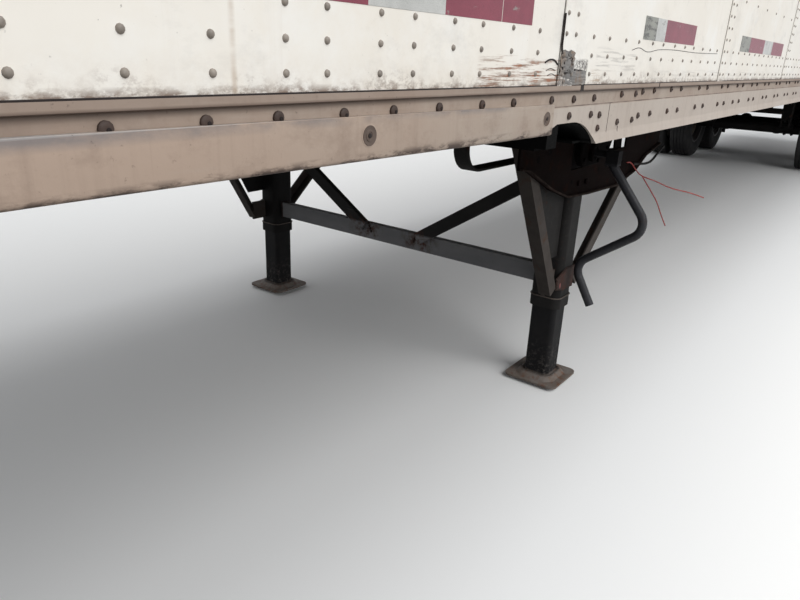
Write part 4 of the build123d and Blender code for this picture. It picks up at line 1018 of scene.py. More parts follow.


# Round bolts along the bottom rail, each with a dark disc off its middle: painted shade of the hole in its
# head
railBolts = {
    "radius": 0.0074,
    "depth": 0.0026,
    "insets": ((0.0012, 0.0010), (0.0018, 0.0006), (0.0018, 0.0)),
    "pin": (0.0024, 0.0010, ((0.0006, 0.0002),), 8),
    "pinShift": (-0.0012, 0.0014, -0.0010),  # off the head's middle
    "pairHeights": (1.218, 1.162),
    "upper": (  # ahead of the legs, height
        (3.55, 1.211), (3.45, 1.211), (3.34, 1.211), (3.24, 1.211), (3.13, 1.211), (3.02, 1.211),
        (2.91, 1.211), (2.80, 1.211), (2.70, 1.211), (2.60, 1.211), (2.50, 1.211), (2.40, 1.211),
        (2.30, 1.211), (2.20, 1.211), (2.095, 1.211), (1.991, 1.211), (1.897, 1.211), (1.791, 1.210),
        (1.694, 1.210), (1.587, 1.210), (1.467, 1.210), (1.363, 1.210), (1.214, 1.210), (1.112, 1.209),
        (1.007, 1.209), (0.844, 1.213), (0.748, 1.212), (0.699, 1.216), (0.610, 1.217), (0.463, 1.218),
        (0.367, 1.218), (0.173, 1.218), (0.075, 1.217), (-0.118, 1.218), (-0.206, 1.218), (-0.358, 1.218),
        (-0.453, 1.218), (-0.621, 1.218), (-0.722, 1.218),
    ),
    "lower": (
        (1.129, 1.178), (1.018, 1.176), (0.969, 1.173), (0.970, 1.145), (0.853, 1.152), (0.754, 1.152),
        (0.713, 1.160), (0.622, 1.161), (0.475, 1.161), (0.379, 1.160), (0.193, 1.162), (0.100, 1.162),
        (-0.093, 1.161), (-0.183, 1.161), (-0.323, 1.161), (-0.424, 1.161), (-0.601, 1.162),
        (-0.695, 1.162), (-0.893, 1.163), (-0.978, 1.163), (-1.178, 1.162), (-1.264, 1.163),
    ),
    "pairStep": 0.282,
    "pairGap": 0.092,
    "upperPairs": -0.893,
    "lowerPairs": -1.461,
}


def spread(base, places, behind, height):
    # Copies of base at every listed place, then pairs at the crossmembers to the trailer's back
    first = places[0]
    heads = [base] + [copyTo(base, (x - first[0], 0, z - first[1])) for x, z in places[1:]]
    pair = copyTo(base, (behind - first[0], 0, height - first[1]))
    repeatAlong(pair, 2, (-railBolts["pairGap"], 0, 0))
    count = int((legX + behind - railLow[0] - 0.12) / railBolts["pairStep"]) + 1
    repeatAlong(pair, count, (-railBolts["pairStep"], 0, 0))
    return joinAll(heads + [pair])


def buildRailBolts(side, word):
    upperHeight, lowerHeight = railBolts["pairHeights"]
    rows = (
        (railBolts["upper"], railBolts["upperPairs"], upperHeight, bandY),
        (railBolts["lower"], railBolts["lowerPairs"], lowerHeight, railY),
    )
    right, out, up = railBolts["pinShift"]
    heads, pins = [], []
    for places, behind, height, y in rows:
        start = (legX + places[0][0], side * y, places[0][1])
        head = turnedHead(start, (0, side, 0), railBolts["radius"], railBolts["depth"], railBolts["insets"])
        heads.append(spread(head, places, behind, height))
        # dark disc as painted shade of the hole in each head
        pinPlace = (start[0] + right, side * (y + railBolts["depth"] + out), start[2] + up)
        pin = turnedHead(pinPlace, (0, side, 0), *railBolts["pin"])
        pins.append(spread(pin, places, behind, height))
    settle(joinAll(heads), f"rail_bolts_{word}", "aluminium", finish=trims["boltSteel"], smooth=35)
    settle(joinAll(pins), f"rail_bolt_pins_{word}", "aluminium", finish=trims["darkGap"])


for side, word in sides:
    buildRailBolts(side, word)
print("rail bolts done")


# Side guard in front of the rail: a folded strip with a thin upper lip and a rounded lower edge
def guardLowering(ahead):
    droops = guardShape["droops"]
    for (front, before), (back, after) in zip(droops, droops[1:]):
        if front >= ahead >= back:
            return before + (after - before) * (front - ahead) / (front - back)
    return droops[0][1] if ahead > droops[0][0] else droops[-1][1]


def buildGuard(side, word):
    low, top = guardShape["low"], guardShape["top"]
    outer, inner = side * (stripY + guardShape["proud"]), side * (stripY - 0.0072)
    endX = legX + guardShape["end"]
    guard = plate((endX, inner, low - 0.0055), (guardHigh[0], outer, top))
    bevelEdges(
        guard,
        lambda a, b: abs(a.x - b.x) > 0.1 and abs(a.y - outer) < 0.0001 and a.z < low,
        guardShape["rounding"],
        4,
    )
    lip = plate(
        (endX, side * (stripY + guardShape["proud"] - guardShape["lip"]), top - 0.0002),
        (guardHigh[0], outer, top + 0.0014),
        0.0004,
        2,
    )
    guard = joinAll([guard, lip])
    cutAcross(guard, [legX + ahead for ahead, drop in guardShape["droops"][:-1]])
    for vertex in guard.data.vertices:
        vertex.co.z -= guardLowering(vertex.co.x - legX)
    settle(guard, f"side_guard_{word}", "aluminium", finish=trims["guardMetal"], smooth=35)
    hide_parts(f"rail_guard_{word}")


# Countersunk bolts of the guard: a pale rim, a brown dish and the dark end of the screw
guardBolts = {
    "ahead": (3.268, 2.767, 2.266, 1.765, 1.266),
    "height": 1.1885,
    "rim": (0.0146, 0.0003, ((0.0012, 0.0002),), 24),
    "dish": (
        0.0126, 0.0012,
        ((0.0014, -0.0005), (0.0038, -0.0001), (0.0006, 0.0008), (0.0018, 0.0), (0.0007, -0.0008)),
        24,
    ),
    "screw": (0.0030, 0.0016, ((0.0008, 0.0003),), 10),
}


def buildGuardBolts(side, word):
    made = {"rim": [], "dish": [], "screw": []}
    for ahead in guardBolts["ahead"]:
        z = guardBolts["height"] - guardLowering(ahead)
        place = (legX + ahead, side * (stripY + guardShape["proud"] - 0.0001), z)
        for kind, heads in made.items():
            heads.append(turnedHead(place, (0, side, 0), *guardBolts[kind]))
    for kind, finish in (("rim", "guardMetal"), ("dish", "dishSteel"), ("screw", "darkGap")):
        settle(joinAll(made[kind]), f"guard_{kind}_{word}", "aluminium", finish=trims[finish], smooth=30)


for side, word in sides:
    buildGuard(side, word)
    buildGuardBolts(side, word)
print("guard done")


# Dark line at the foot of the panels where they stand on the bead of the rail: a painted shadow line
footShadowLine = {"height": 0.0018, "proud": 0.0024}


def buildFootShadowLine(side, word):
    low = (railLow[0] + 0.002, side * (panelY - 0.0005), panelBottom - 0.0002)
    high = (railHigh[0] - 0.002, side * (panelY + footShadowLine["proud"]), panelBottom + footShadowLine["height"])
    settle(plate(low, high, 0.0003), f"panel_foot_shadow_line_{word}", "aluminium", finish=trims["darkGap"])


for side, word in sides:
    buildFootShadowLine(side, word)


# Reflective tape along both sides
tape = {
    "low": 1.333,
    "high": 1.3838,
    "thickness": 0.0005,
    "near": (  # ahead of the legs from, to, kind
        (2.036, 1.756, "redTape"),
        (1.756, 1.593, "whiteTape"),
        (1.593, 1.437, "redTape"),
        (1.435, 1.334, "redTape"),
        (0.773, 0.684, "wornTape"),
        (0.684, 0.612, "whiteTape"),
        (0.612, 0.340, "redTape"),
        (-0.249, -0.400, "wornTape"),
        (-0.400, -0.665, "redTape"),
        (-0.665, -0.842, "whiteTape"),
        (-0.842, -1.100, "redTape"),
        (3.380, 3.100, "redTape"),
        (3.100, 2.922, "whiteTape"),
        (2.922, 2.660, "redTape"),
    ),
    "far": (  # behind each later seam
        (0.262, 0.542, "redTape"),
        (0.542, 0.720, "whiteTape"),
        (0.720, 1.000, "redTape"),
    ),
    "farFirst": 4,
}


def buildTape(side, word):
    made = {"redTape": [], "whiteTape": [], "wornTape": []}
    y = (side * (panelY - 0.0001), side * (panelY + tape["thickness"]))
    for start, end, kind in tape["near"]:
        low, high = (legX + end, y[0], tape["low"]), (legX + start, y[1], tape["high"])
        made[kind].append(plate(low, high, 0.0002))
    farX = frontX - rivets["firstSeam"] - tape["farFirst"] * rivets["seamStep"]
    for start, end, kind in tape["far"]:
        strip = plate((farX - end, y[0], tape["low"]), (farX - start, y[1], tape["high"]), 0.0002)
        repeatAlong(strip, rivets["seams"] - 1 - tape["farFirst"], (-rivets["seamStep"], 0, 0))
        made[kind].append(strip)
    for kind, strips in made.items():
        settle(joinAll(strips), f"side_{kind}_{word}", "white_panel", finish=trims[kind])


for side, word in sides:
    buildTape(side, word)
print("tape done")


# Damage at the foot of the second splice strip, and lines and cracks near it. Points are ahead of the
# legs, height
damage = {
    "tornEdges": (
        ((1.2135, 1.360), (1.2130, 1.320), (1.2125, 1.303), (1.206, 1.289), (1.196, 1.276), (1.186, 1.266)),
        ((1.212, 1.300), (1.209, 1.286), (1.203, 1.270), (1.196, 1.262), (1.184, 1.258)),
        ((1.188, 1.293), (1.176, 1.286), (1.166, 1.279), (1.157, 1.272)),
        ((1.160, 1.292), (1.163, 1.282), (1.170, 1.272), (1.182, 1.262)),
    ),
    "tornRadius": 0.0021,
    "outlines": (
        ((1.191, 1.238), (1.192, 1.250), (1.190, 1.262)),
        ((1.158, 1.266), (1.129, 1.264), (1.105, 1.263), (1.091, 1.260), (1.084, 1.251), (1.083, 1.237)),
        ((1.270, 1.276), (1.252, 1.281), (1.232, 1.280), (1.217, 1.273)),
    ),
    "outlineRadius": 0.0015,
    "lines": (
        ((0.835, 1.308), (0.790, 1.314), (0.729, 1.307), (0.641, 1.314), (0.268, 1.315), (0.055, 1.318)),
        ((1.262, 1.262), (1.245, 1.266), (1.224, 1.263)),
        ((1.255, 1.254), (1.238, 1.257), (1.218, 1.253)),
    ),
    "lineRadius": 0.0007,
    "crack": ((0.844, 1.143), (0.842, 1.130), (0.838, 1.120), (0.836, 1.1115)),
    "crackRadius": 0.0011,
    "jointAhead": 0.912,
    "jointHalf": 0.0007,
    "beadCuts": ((0.597, 0.0040), (1.094, 0.0150)),  # ahead of the legs, width
}


def onSide(points, y):
    return [(legX + ahead, y, z) for ahead, z in points]


def buildDamage():
    torn = [bentRod(onSide(p, stripY + 0.0006), damage["tornRadius"], 1) for p in damage["tornEdges"]]
    outlines = [bentRod(onSide(p, panelY + 0.0008), damage["outlineRadius"], 1) for p in damage["outlines"]]
    settle(joinAll(torn + outlines), "torn_strip_edges", "white_panel", finish=trims["darkGap"], smooth=50)
    lines = [bentRod(onSide(p, panelY + 0.0001), damage["lineRadius"], 1, steps=8) for p in damage["lines"]]
    settle(joinAll(lines), "panel_scratches", "white_panel", finish=trims["darkGap"], smooth=50)

    cuts = []
    for ahead, width in damage["beadCuts"]:
        low = (legX + ahead - width / 2, stripY - 0.003, beadBottom - 0.001)
        high = (legX + ahead + width / 2, stripY + 0.0007, panelBottom + 0.0008)
        cuts.append(plate(low, high, 0.0004))
    jointX, half = legX + damage["jointAhead"], damage["jointHalf"]
    joint = plate(
        (jointX - half, railY - 0.001, railLow[2] + 0.001),
        (jointX + half, railY + 0.0005, railLine - 0.001),
        0.0002,
    )
    crack = bentRod(onSide(damage["crack"], railY + 0.0001), damage["crackRadius"], 1)
    settle(joinAll(cuts + [joint, crack]), "rail_joint_lines", "aluminium", finish=trims["darkGap"])


buildDamage()

# Crumpled end of the torn splice strip and the battered patch beside it
crumple = {
    "pieces": (  # from and to ahead of the legs, from and to height, proud of the strip, how rough
        (1.155, 1.2135, 1.258, 1.298, 0.0012, 0.0042),
        (1.084, 1.192, 1.2372, 1.2630, -0.0006, 0.0022),
    ),
    "cuts": 14,
    "thickness": 0.0012,
    "seed": 5,
}


def buildCrumple():
    flaps = []
    for index, (left, right, low, high, proud, rough) in enumerate(crumple["pieces"]):
        deselectAll()
        middle = (legX + (left + right) / 2, stripY + proud, (low + high) / 2)
        bpy.ops.mesh.primitive_grid_add(
            x_subdivisions=crumple["cuts"],
            y_subdivisions=crumple["cuts"],
            size=1,
            location=middle,
            rotation=(math.pi / 2, 0, 0),
        )
        flap = bpy.context.object
        flap.scale = (right - left, high - low, 1)
        bpy.ops.object.transform_apply(location=True, rotation=True, scale=True)
        bpy.ops.object.mode_set(mode="EDIT")
        bpy.ops.mesh.select_all(action="SELECT")
        bpy.ops.transform.vertex_random(offset=rough, uniform=0.5, normal=0.0, seed=crumple["seed"] + index)
        bpy.ops.mesh.vertices_smooth(factor=0.35)
        bpy.ops.object.mode_set(mode="OBJECT")
        applyModifier(flap, "SOLIDIFY", thickness=crumple["thickness"])
        flaps.append(flap)
    settle(joinAll(flaps), "crumpled_strip_end", "white_panel", finish=trims["tornMetal"], smooth=35)


buildCrumple()
print("damage done")


# Dark sheet that follows the arch of the rail ahead of the legs
notchLiner = {
    "radius": 0.1934,
    "flatFrom": 1.176,  # ahead of the legs
    "flatTo": 1.105,
    "top": 1.1635,
    "turn": 43.0,
    "steps": 12,
    "depth": 0.110,
    "inset": 0.006,
    "thickness": 0.002,
}


def foldedSheet(points, across, thickness):
    sheet = startPoint(points[0])
    bpy.ops.mesh.extrude_vertices_move(TRANSFORM_OT_translate={"value": across})
    bpy.ops.mesh.select_all(action="SELECT")
    for before, after in zip(points, points[1:]):
        move = [b - a for a, b in zip(before, after)]
        bpy.ops.mesh.extrude_edges_move(TRANSFORM_OT_translate={"value": move})
    bpy.ops.object.mode_set(mode="OBJECT")
    applyModifier(sheet, "SOLIDIFY", thickness=thickness, offset=0)
    return sheet


def buildNotchLiner(side, word):
    radius, turns = notchLiner["radius"], notchLiner["steps"]
    y = side * (railY - notchLiner["inset"])
    points = [(legX + notchLiner["flatFrom"], y, notchLiner["top"])]
    for step in range(turns + 1):
        angle = math.radians(notchLiner["turn"]) * step / turns
        x = legX + notchLiner["flatTo"] - radius * math.sin(angle)
        points.append((x, y, notchLiner["top"] - radius * (1 - math.cos(angle))))
    liner = foldedSheet(points, (0, -side * notchLiner["depth"], 0), notchLiner["thickness"])
    settle(liner, f"notch_liner_{word}", "frame_steel", finish=finishes["frame_steel"], smooth=40)


for side, word in sides:
    buildNotchLiner(side, word)


# Red tie wire caught on the wing plate, stiff and forked
tieWire = {
    "radius": 0.0026,
    "branches": (  # ahead of the legs, in from the side, height
        (
            (-0.459, 0.398, 0.877), (-0.508, 0.396, 0.870), (-0.558, 0.385, 0.835), (-0.609, 0.370, 0.805),
            (-0.646, 0.320, 0.785), (-0.687, 0.270, 0.760), (-0.809, 0.200, 0.727), (-0.914, 0.160, 0.696),
        ),
        (
            (-0.609, 0.370, 0.805), (-0.699, 0.350, 0.733), (-0.778, 0.330, 0.663),
            (-0.828, 0.315, 0.599), (-0.878, 0.300, 0.540),
        ),
    ),
}


def buildTieWire():
    branches = [
        bentRod([(legX + ahead, stripY - inset, z) for ahead, inset, z in branch], tieWire["radius"], 2)
        for branch in tieWire["branches"]
    ]
    settle(joinAll(branches), "tie_wire", "dark_steel", finish=trims["redWire"], smooth=60)


buildTieWire()

# Bent rod hook that holds the crank, welded below the wing plate
crankHook = {
    "radius": 0.0055,
    "inset": 0.398,
    "points": (  # ahead of the legs, height
        (-0.545, 0.862), (-0.640, 0.852), (-0.767, 0.846), (-0.800, 0.850), (-0.880, 0.878), (-0.961, 0.906),
    ),
}


def buildCrankHook():
    points = [(legX + ahead, stripY - crankHook["inset"], z) for ahead, z in crankHook["points"]]
    hook = bentRod(points, crankHook["radius"], 3)
    settle(hook, "crank_hook", "dark_steel", smooth=60)


buildCrankHook()


# Bolts and open holes of the wing plates
wingTrim = {
    "bolt": (0.0105, 0.007, ((0.0015, 0.0012), (0.0035, 0.0), (0.0006, -0.001)), 6),
    "bolts": (  # ahead of the legs, height
        (0.490, 1.072), (0.400, 1.072), (0.300, 1.072), (0.190, 1.072), (-0.520, 1.072), (-0.620, 1.072),
        (-0.720, 1.072), (-0.820, 1.072), (0.040, 0.848), (-0.030, 0.848), (-0.330, 0.880), (-0.400, 0.880),
    ),
    "holes": (  # ahead of the legs, height, radius
        (0.401, 0.971, 0.012), (0.316, 0.989, 0.012), (-0.151, 0.880, 0.010), (0.101, 0.860, 0.009),
        (-0.232, 0.890, 0.011), (-0.560, 0.990, 0.012), (-0.700, 0.990, 0.012),
    ),
}


def buildWingTrim(side, word):
    face = side * wingFace
    bolts, holes = [], []
    for ahead, z in wingTrim["bolts"]:
        bolts.append(turnedHead((legX + ahead, face, z), (0, side, 0), *wingTrim["bolt"]))
    for ahead, z, radius in wingTrim["holes"]:
        place = (legX + ahead, face - side * 0.0002, z)
        holes.append(turnedHead(place, (0, side, 0), radius, 0.0006, ((radius * 0.08, 0.0),), 24))
    settle(joinAll(bolts), f"wing_bolts_{word}", "brown_steel", finish=trims["wingBolt"], smooth=30)
    settle(joinAll(holes), f"wing_holes_{word}", "brown_steel", finish=trims["caseSteel"])


for side, word in sides:
    buildWingTrim(side, word)


# Flat outline in the plane of the side, given a thickness outwards; points are ahead of the legs, height
def flatSheet(points, side, inset, thickness, edge=0.0008):
    sheet = startPoint((legX + points[0][0], side * (stripY - inset), points[0][1]))
    for before, after in zip(points, points[1:] + points[:1]):
        move = (after[0] - before[0], 0, after[1] - before[1])
        bpy.ops.mesh.extrude_vertices_move(TRANSFORM_OT_translate={"value": move})
    bpy.ops.mesh.select_all(action="SELECT")
    bpy.ops.mesh.remove_doubles(threshold=0.0002)
    bpy.ops.mesh.edge_face_add()
    bpy.ops.mesh.extrude_region_move(TRANSFORM_OT_translate={"value": (0, side * thickness, 0)})
    bpy.ops.mesh.select_all(action="SELECT")
    bpy.ops.mesh.normals_make_consistent(inside=False)
    bpy.ops.mesh.bevel(offset=edge, segments=1, affect="EDGES")
    bpy.ops.object.mode_set(mode="OBJECT")
    return sheet


# Gear case on the outer face of each leg, round the input shaft, with its ring of bolts
gearCase = {
    "outline": (  # ahead of the legs, height
        (0.058, 0.912), (0.096, 0.950), (0.100, 1.020), (0.070, 1.068), (-0.060, 1.078),
        (-0.190, 1.070), (-0.208, 1.000), (-0.176, 0.952), (-0.078, 0.912),
    ),
    "inset": 0.4125,
    "depth": 0.030,
    "edge": 0.005,
    "bolt": (0.0075, 0.005, ((0.001, 0.001),), 6),
    "bolts": (
        (0.066, 0.940), (0.082, 1.005), (0.058, 1.055), (-0.055, 1.064), (-0.172, 1.052), (-0.150, 0.968),
        (-0.068, 0.928),
    ),
    "boss": (0.034, 0.014, ((0.004, 0.002), (0.008, 0.0), (0.002, -0.003)), 28),
    "shaftHeight": 0.962,
}


# Dark sheet behind the notch, standing for the shade in the space behind the wing plate: painted shade; it
# leaves two gaps to see through
notchShadeSheet = {
    "outline": (  # ahead of the legs, height
        (-0.060, 0.860), (-0.060, 1.103), (-0.214, 1.103), (-0.225, 0.953), (-0.322, 0.948),
        (-0.300, 1.103), (-0.372, 1.103), (-0.402, 0.936), (-0.462, 0.928), (-0.470, 0.860),
    ),
    "inset": 0.4205,
    "thickness": 0.0078,
}


def buildGearCase(side, word):
    # dark sheet as painted shade behind the notch
    back = flatSheet(notchShadeSheet["outline"], side, notchShadeSheet["inset"], notchShadeSheet["thickness"])
    settle(back, f"notch_shade_sheet_{word}", "dark_steel", finish=trims["caseSteel"], smooth=30)
    case = flatSheet(gearCase["outline"], side, gearCase["inset"], gearCase["depth"], gearCase["edge"])
    face = side * (stripY - gearCase["inset"] + gearCase["depth"])
    pieces = [case]
    for ahead, z in gearCase["bolts"]:
        pieces.append(turnedHead((legX + ahead, face, z), (0, side, 0), *gearCase["bolt"]))
    if side > 0:  # the input shaft comes out on the left only
        pieces.append(turnedHead((legX, face, gearCase["shaftHeight"]), (0, side, 0), *gearCase["boss"]))
    settle(joinAll(pieces), f"gear_case_{word}", "dark_steel", finish=trims["caseSteel"], smooth=30)


for side, word in sides:
    buildGearCase(side, word)
print("gear cases done")


# Weld beads of the landing gear: a rippled bead runs between two points
welds = {"radius": 0.0045, "ripple": 0.0085}


def weldBead(start, end, radius):
    # A row of short overlapping swellings, like the ripples of a hand weld
    start, end = Vector(start), Vector(end)
    run = end - start
    deselectAll()
    bpy.ops.mesh.primitive_uv_sphere_add(segments=7, ring_count=5, radius=radius, location=start)
    bead = bpy.context.object
    bead.scale = [1 + 0.5 * abs(c) for c in run.normalized()]
    bpy.ops.object.transform_apply(location=True, rotation=True, scale=True)
    count = max(2, int(run.length / welds["ripple"]))
    repeatAlong(bead, count, run / (count - 1))
    return bead


# Gussets: one on each leg's outer face at the foot of the front strut, a web between leg and strut
gussets = {
    "plate": (  # ahead of the legs, height
        (-0.052, 0.418), (0.030, 0.418), (0.098, 0.436), (0.104, 0.478), (0.020, 0.506), (-0.052, 0.500),
    ),
    "plateInset": 0.4125,
    "plateThickness": 0.006,
    "web": ((0.064, 0.560), (0.170, 0.560), (0.300, 0.800), (0.352, 0.885), (0.064, 0.885)),
    "webInset": 0.448,
    "webThickness": 0.008,
}


def buildGussets(side, word):
    inset, thickness = gussets["plateInset"], gussets["plateThickness"]
    sheet = flatSheet(gussets["plate"], side, inset, thickness, 0.0015)
    settle(sheet, f"leg_gusset_{word}", "dark_steel", finish=trims["gussetRust"], smooth=30)
    web = flatSheet(gussets["web"], side, gussets["webInset"], gussets["webThickness"])
    settle(web, f"strut_web_{word}", "dark_steel", smooth=30)
    y = side * (stripY - inset + 0.001)
    beads = []
    outline = gussets["plate"]
    for before, after in zip(outline, outline[1:] + outline[:1]):
        start, end = (legX + before[0], y, before[1]), (legX + after[0], y, after[1])
        beads.append(weldBead(start, end, welds["radius"]))
    settle(joinAll(beads), f"gusset_welds_{word}", "dark_steel", finish=trims["rustWeld"], smooth=60)


# Welds of the channel's ends on the legs, and of the slanting braces' feet on the channel
braceWelds = {
    "inner": 0.0635,  # in from the leg's middle
    "levels": ((-0.017, 0.019), (0.4225, 0.4975), 0.0042),  # ahead of the legs, heights, radius
    "upright": (0.0195, (0.424, 0.496), 0.0046),
    "feet": (0.0200, (((0.128, 0.462), (0.146, 0.500)), ((0.146, 0.500), (0.196, 0.500))), 0.0050),
}


def buildBraceWelds():
    beads = []
    (back, front), heights, levelRadius = braceWelds["levels"]
    upright, (bottom, top), uprightRadius = braceWelds["upright"]
    foot, runs, footRadius = braceWelds["feet"]
    for side, word in sides:
        y = side * (legY - braceWelds["inner"])
        for z in heights:
            beads.append(weldBead((legX + back, y, z), (legX + front, y, z), levelRadius))
        beads.append(weldBead((legX + upright, y, bottom), (legX + upright, y, top), uprightRadius))
        for low, high in runs:
            start, end = (legX + foot, side * low[0], low[1]), (legX + foot, side * high[0], high[1])
            beads.append(weldBead(start, end, footRadius))
    settle(joinAll(beads), "brace_welds", "dark_steel", finish=trims["rustWeld"], smooth=60)


# Pale worn bead round the upper rim of each collar
collarBead = {"height": 0.381, "half": 0.0658, "radius": 0.0030, "corner": 0.031}


def buildCollarBead(side, word):
    half, corner, z = collarBead["half"], collarBead["corner"], collarBead["height"]
    points = []
    for turn in range(4):
        for step in range(6):
            angle = math.radians(90 * turn + 18 * step)
            ahead = (half - corner) * (1 if turn in (0, 3) else -1) + corner * math.cos(angle)
            outward = (half - corner) * (1 if turn in (0, 1) else -1) + corner * math.sin(angle)
            points.append((legX + ahead, side * (legY + outward), z))
    ring = bentRod(points + [points[0]], collarBead["radius"], 2, "VECTOR", 1)
    settle(ring, f"collar_bead_{word}", "dark_steel", finish=trims["wornEdge"], smooth=60)


for side, word in sides:
    buildGussets(side, word)
    buildCollarBead(side, word)
buildBraceWelds()
print("landing gear trim done")


# Pink paint spot on the near gusset's weld
paintSpot = {"ahead": 0.074, "height": 0.446, "size": 0.0075, "shape": (1.0, 0.25, 1.5)}


def buildPaintSpot():
    y = stripY - gussets["plateInset"] + gussets["plateThickness"]
    deselectAll()
    place = (legX + paintSpot["ahead"], y, paintSpot["height"])
    bpy.ops.mesh.primitive_uv_sphere_add(segments=14, ring_count=8, radius=paintSpot["size"], location=place)
    spot = bpy.context.object
    spot.scale = paintSpot["shape"]
    settle(spot, "weld_paint_spot", "dark_steel", finish=trims["pinkPaint"], smooth=60)


buildPaintSpot()


# Strap from the gear housing to the crossmember ahead of it
strap = {
    "low": 0.935,
    "start": 0.055,  # ahead of the legs
    "ahead": 0.628,
    "bend": 0.075,
    "steps": 8,
    "top": 1.112,
    "insideY": 0.706,
    "width": 0.055,
    "thickness": 0.008,
}


def buildStrap():
    points = [(legX + strap["start"], strap["insideY"], strap["low"])]
    for step in range(strap["steps"] + 1):
        angle = math.radians(90) * step / strap["steps"]
        x = legX + strap["ahead"] - strap["bend"] * (1 - math.sin(angle))
        points.append((x, strap["insideY"], strap["low"] + strap["bend"] * (1 - math.cos(angle))))
    points.append((legX + strap["ahead"], strap["insideY"], strap["top"]))
    piece = foldedSheet(points, (0, strap["width"], 0), strap["thickness"])
    settle(piece, "leg_strap", "dark_steel", smooth=30)
    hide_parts("guard_strap")


buildStrap()


# Wheels: each twin rides its own body. Offsets run outwards from the middle of the twin, then radius
axleSpots = {
    word: (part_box(f"tyres_{word}_left")[0][0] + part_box(f"tyres_{word}_left")[1][0]) / 2
    for word in ("front", "rear")
}
wheelZ = 0.505
wheelShape = {
    "twinOffset": 0.1715,
    "tyreHalf": (
        (0.017, 0.505), (0.018, 0.4925), (0.026, 0.4925), (0.027, 0.5048), (0.061, 0.5042), (0.062, 0.4920),
        (0.070, 0.4920), (0.071, 0.5036), (0.104, 0.5010), (0.116, 0.4965), (0.124, 0.4880),
        (0.1275, 0.4720), (0.1320, 0.4460), (0.1335, 0.4440), (0.1350, 0.4100), (0.1345, 0.3800),
        (0.1290, 0.3460), (0.1180, 0.3160), (0.1140, 0.3130), (0.1085, 0.3010), (0.1040, 0.2875),
    ),
    "tyreSteps": 64,
    "rim": (
        (0.284, 0.303), (0.290, 0.303), (0.2945, 0.297), (0.2935, 0.283), (0.286, 0.276), (0.262, 0.270),
        (0.250, 0.256), (0.215, 0.254), (0.120, 0.254), (0.066, 0.250), (0.054, 0.242), (0.043, 0.224),
        (0.036, 0.200), (0.036, 0.095), (0.026, 0.095), (0.026, 0.202), (0.033, 0.229), (0.046, 0.250),
        (0.060, 0.259), (0.120, 0.262), (0.215, 0.262), (0.246, 0.264), (0.256, 0.277), (0.280, 0.285),
        (0.2845, 0.291),
    ),
    "rimSteps": 60,
    "handHoles": (10, 0.1905, 0.0205, 0.06, 0.015),  # count, reach, radius, depth, from the middle
    "nuts": (10, 0.143, 0.036),  # count, reach, from the middle
    "nut": (0.0185, 0.024, ((0.003, 0.002), (0.006, 0.0), (0.0005, 0.010)), 6),
    "nutCollar": (0.0225, 0.006, ((0.001, 0.001),), 20),
    "hubSteps": 48,
    "hub": (
        (-0.105, 0.047), (-0.105, 0.085), (-0.034, 0.092), (-0.030, 0.165), (0.0255, 0.165),
        (0.0255, 0.0945), (0.070, 0.092), (0.096, 0.086), (0.104, 0.076), (0.106, 0.068), (0.136, 0.064),
        (0.146, 0.052), (0.150, 0.030), (0.150, 0.0), (0.100, 0.0), (0.100, 0.047),
    ),
    "drum": (
        (-0.0375, 0.150), (-0.0375, 0.203), (-0.050, 0.211), (-0.200, 0.212), (-0.204, 0.218),
        (-0.226, 0.218), (-0.226, 0.200), (-0.060, 0.200), (-0.050, 0.196), (-0.050, 0.150),
    ),
}


def twinTyres(center):
    half = wheelShape["tyreHalf"]
    outline = list(half) + [(-y, r) for y, r in reversed(half)]
    apart = wheelShape["twinOffset"]
    first = spunShape(outline, (center[0], center[1] - apart, center[2]), wheelShape["tyreSteps"])
    return joinAll([first, copyTo(first, (0, 2 * apart, 0))])


def roundWheel(center, side, count, reach, out, turnFrom=0.0):
    # Places on a ring about the wheel's axis, on the outer face of its disc
    for turn in range(count):
        angle = 2 * math.pi * (turn + turnFrom) / count
        across, upward = reach * math.cos(angle), reach * math.sin(angle)
        yield (center[0] + across, center[1] + side * out, center[2] + upward)


def boredRim(center, side):
    # A rim whose disc has its ring of hand holes cut through
    rim = spunShape([(side * y, r) for y, r in wheelShape["rim"]], center, wheelShape["rimSteps"])
    pick(rim)
    bpy.ops.object.mode_set(mode="EDIT")
    bpy.ops.mesh.select_all(action="SELECT")
    bpy.ops.mesh.normals_make_consistent(inside=False)
    bpy.ops.object.mode_set(mode="OBJECT")
    count, reach, radius, depth, out = wheelShape["handHoles"]
    for place in roundWheel(center, side, count, reach, out, 0.5):
        cutter = turnedHead(place, (0, side, 0), radius, depth, (), 16)
        applyModifier(rim, "BOOLEAN", operation="DIFFERENCE", solver="EXACT", object=cutter)
        pick(cutter)
        bpy.ops.object.delete()
    return rim


def hubAndDrum(center, side):
    outlines = ([(side * y, r) for y, r in wheelShape[part]] for part in ("hub", "drum"))
    return joinAll([spunShape(outline, center, wheelShape["hubSteps"]) for outline in outlines])


def wheelNuts(center, side):
    pieces = []
    for place in roundWheel(center, side, *wheelShape["nuts"]):
        for kind in ("nut", "nutCollar"):
            pieces.append(turnedHead(place, (0, side, 0), *wheelShape[kind]))
    return joinAll(pieces)


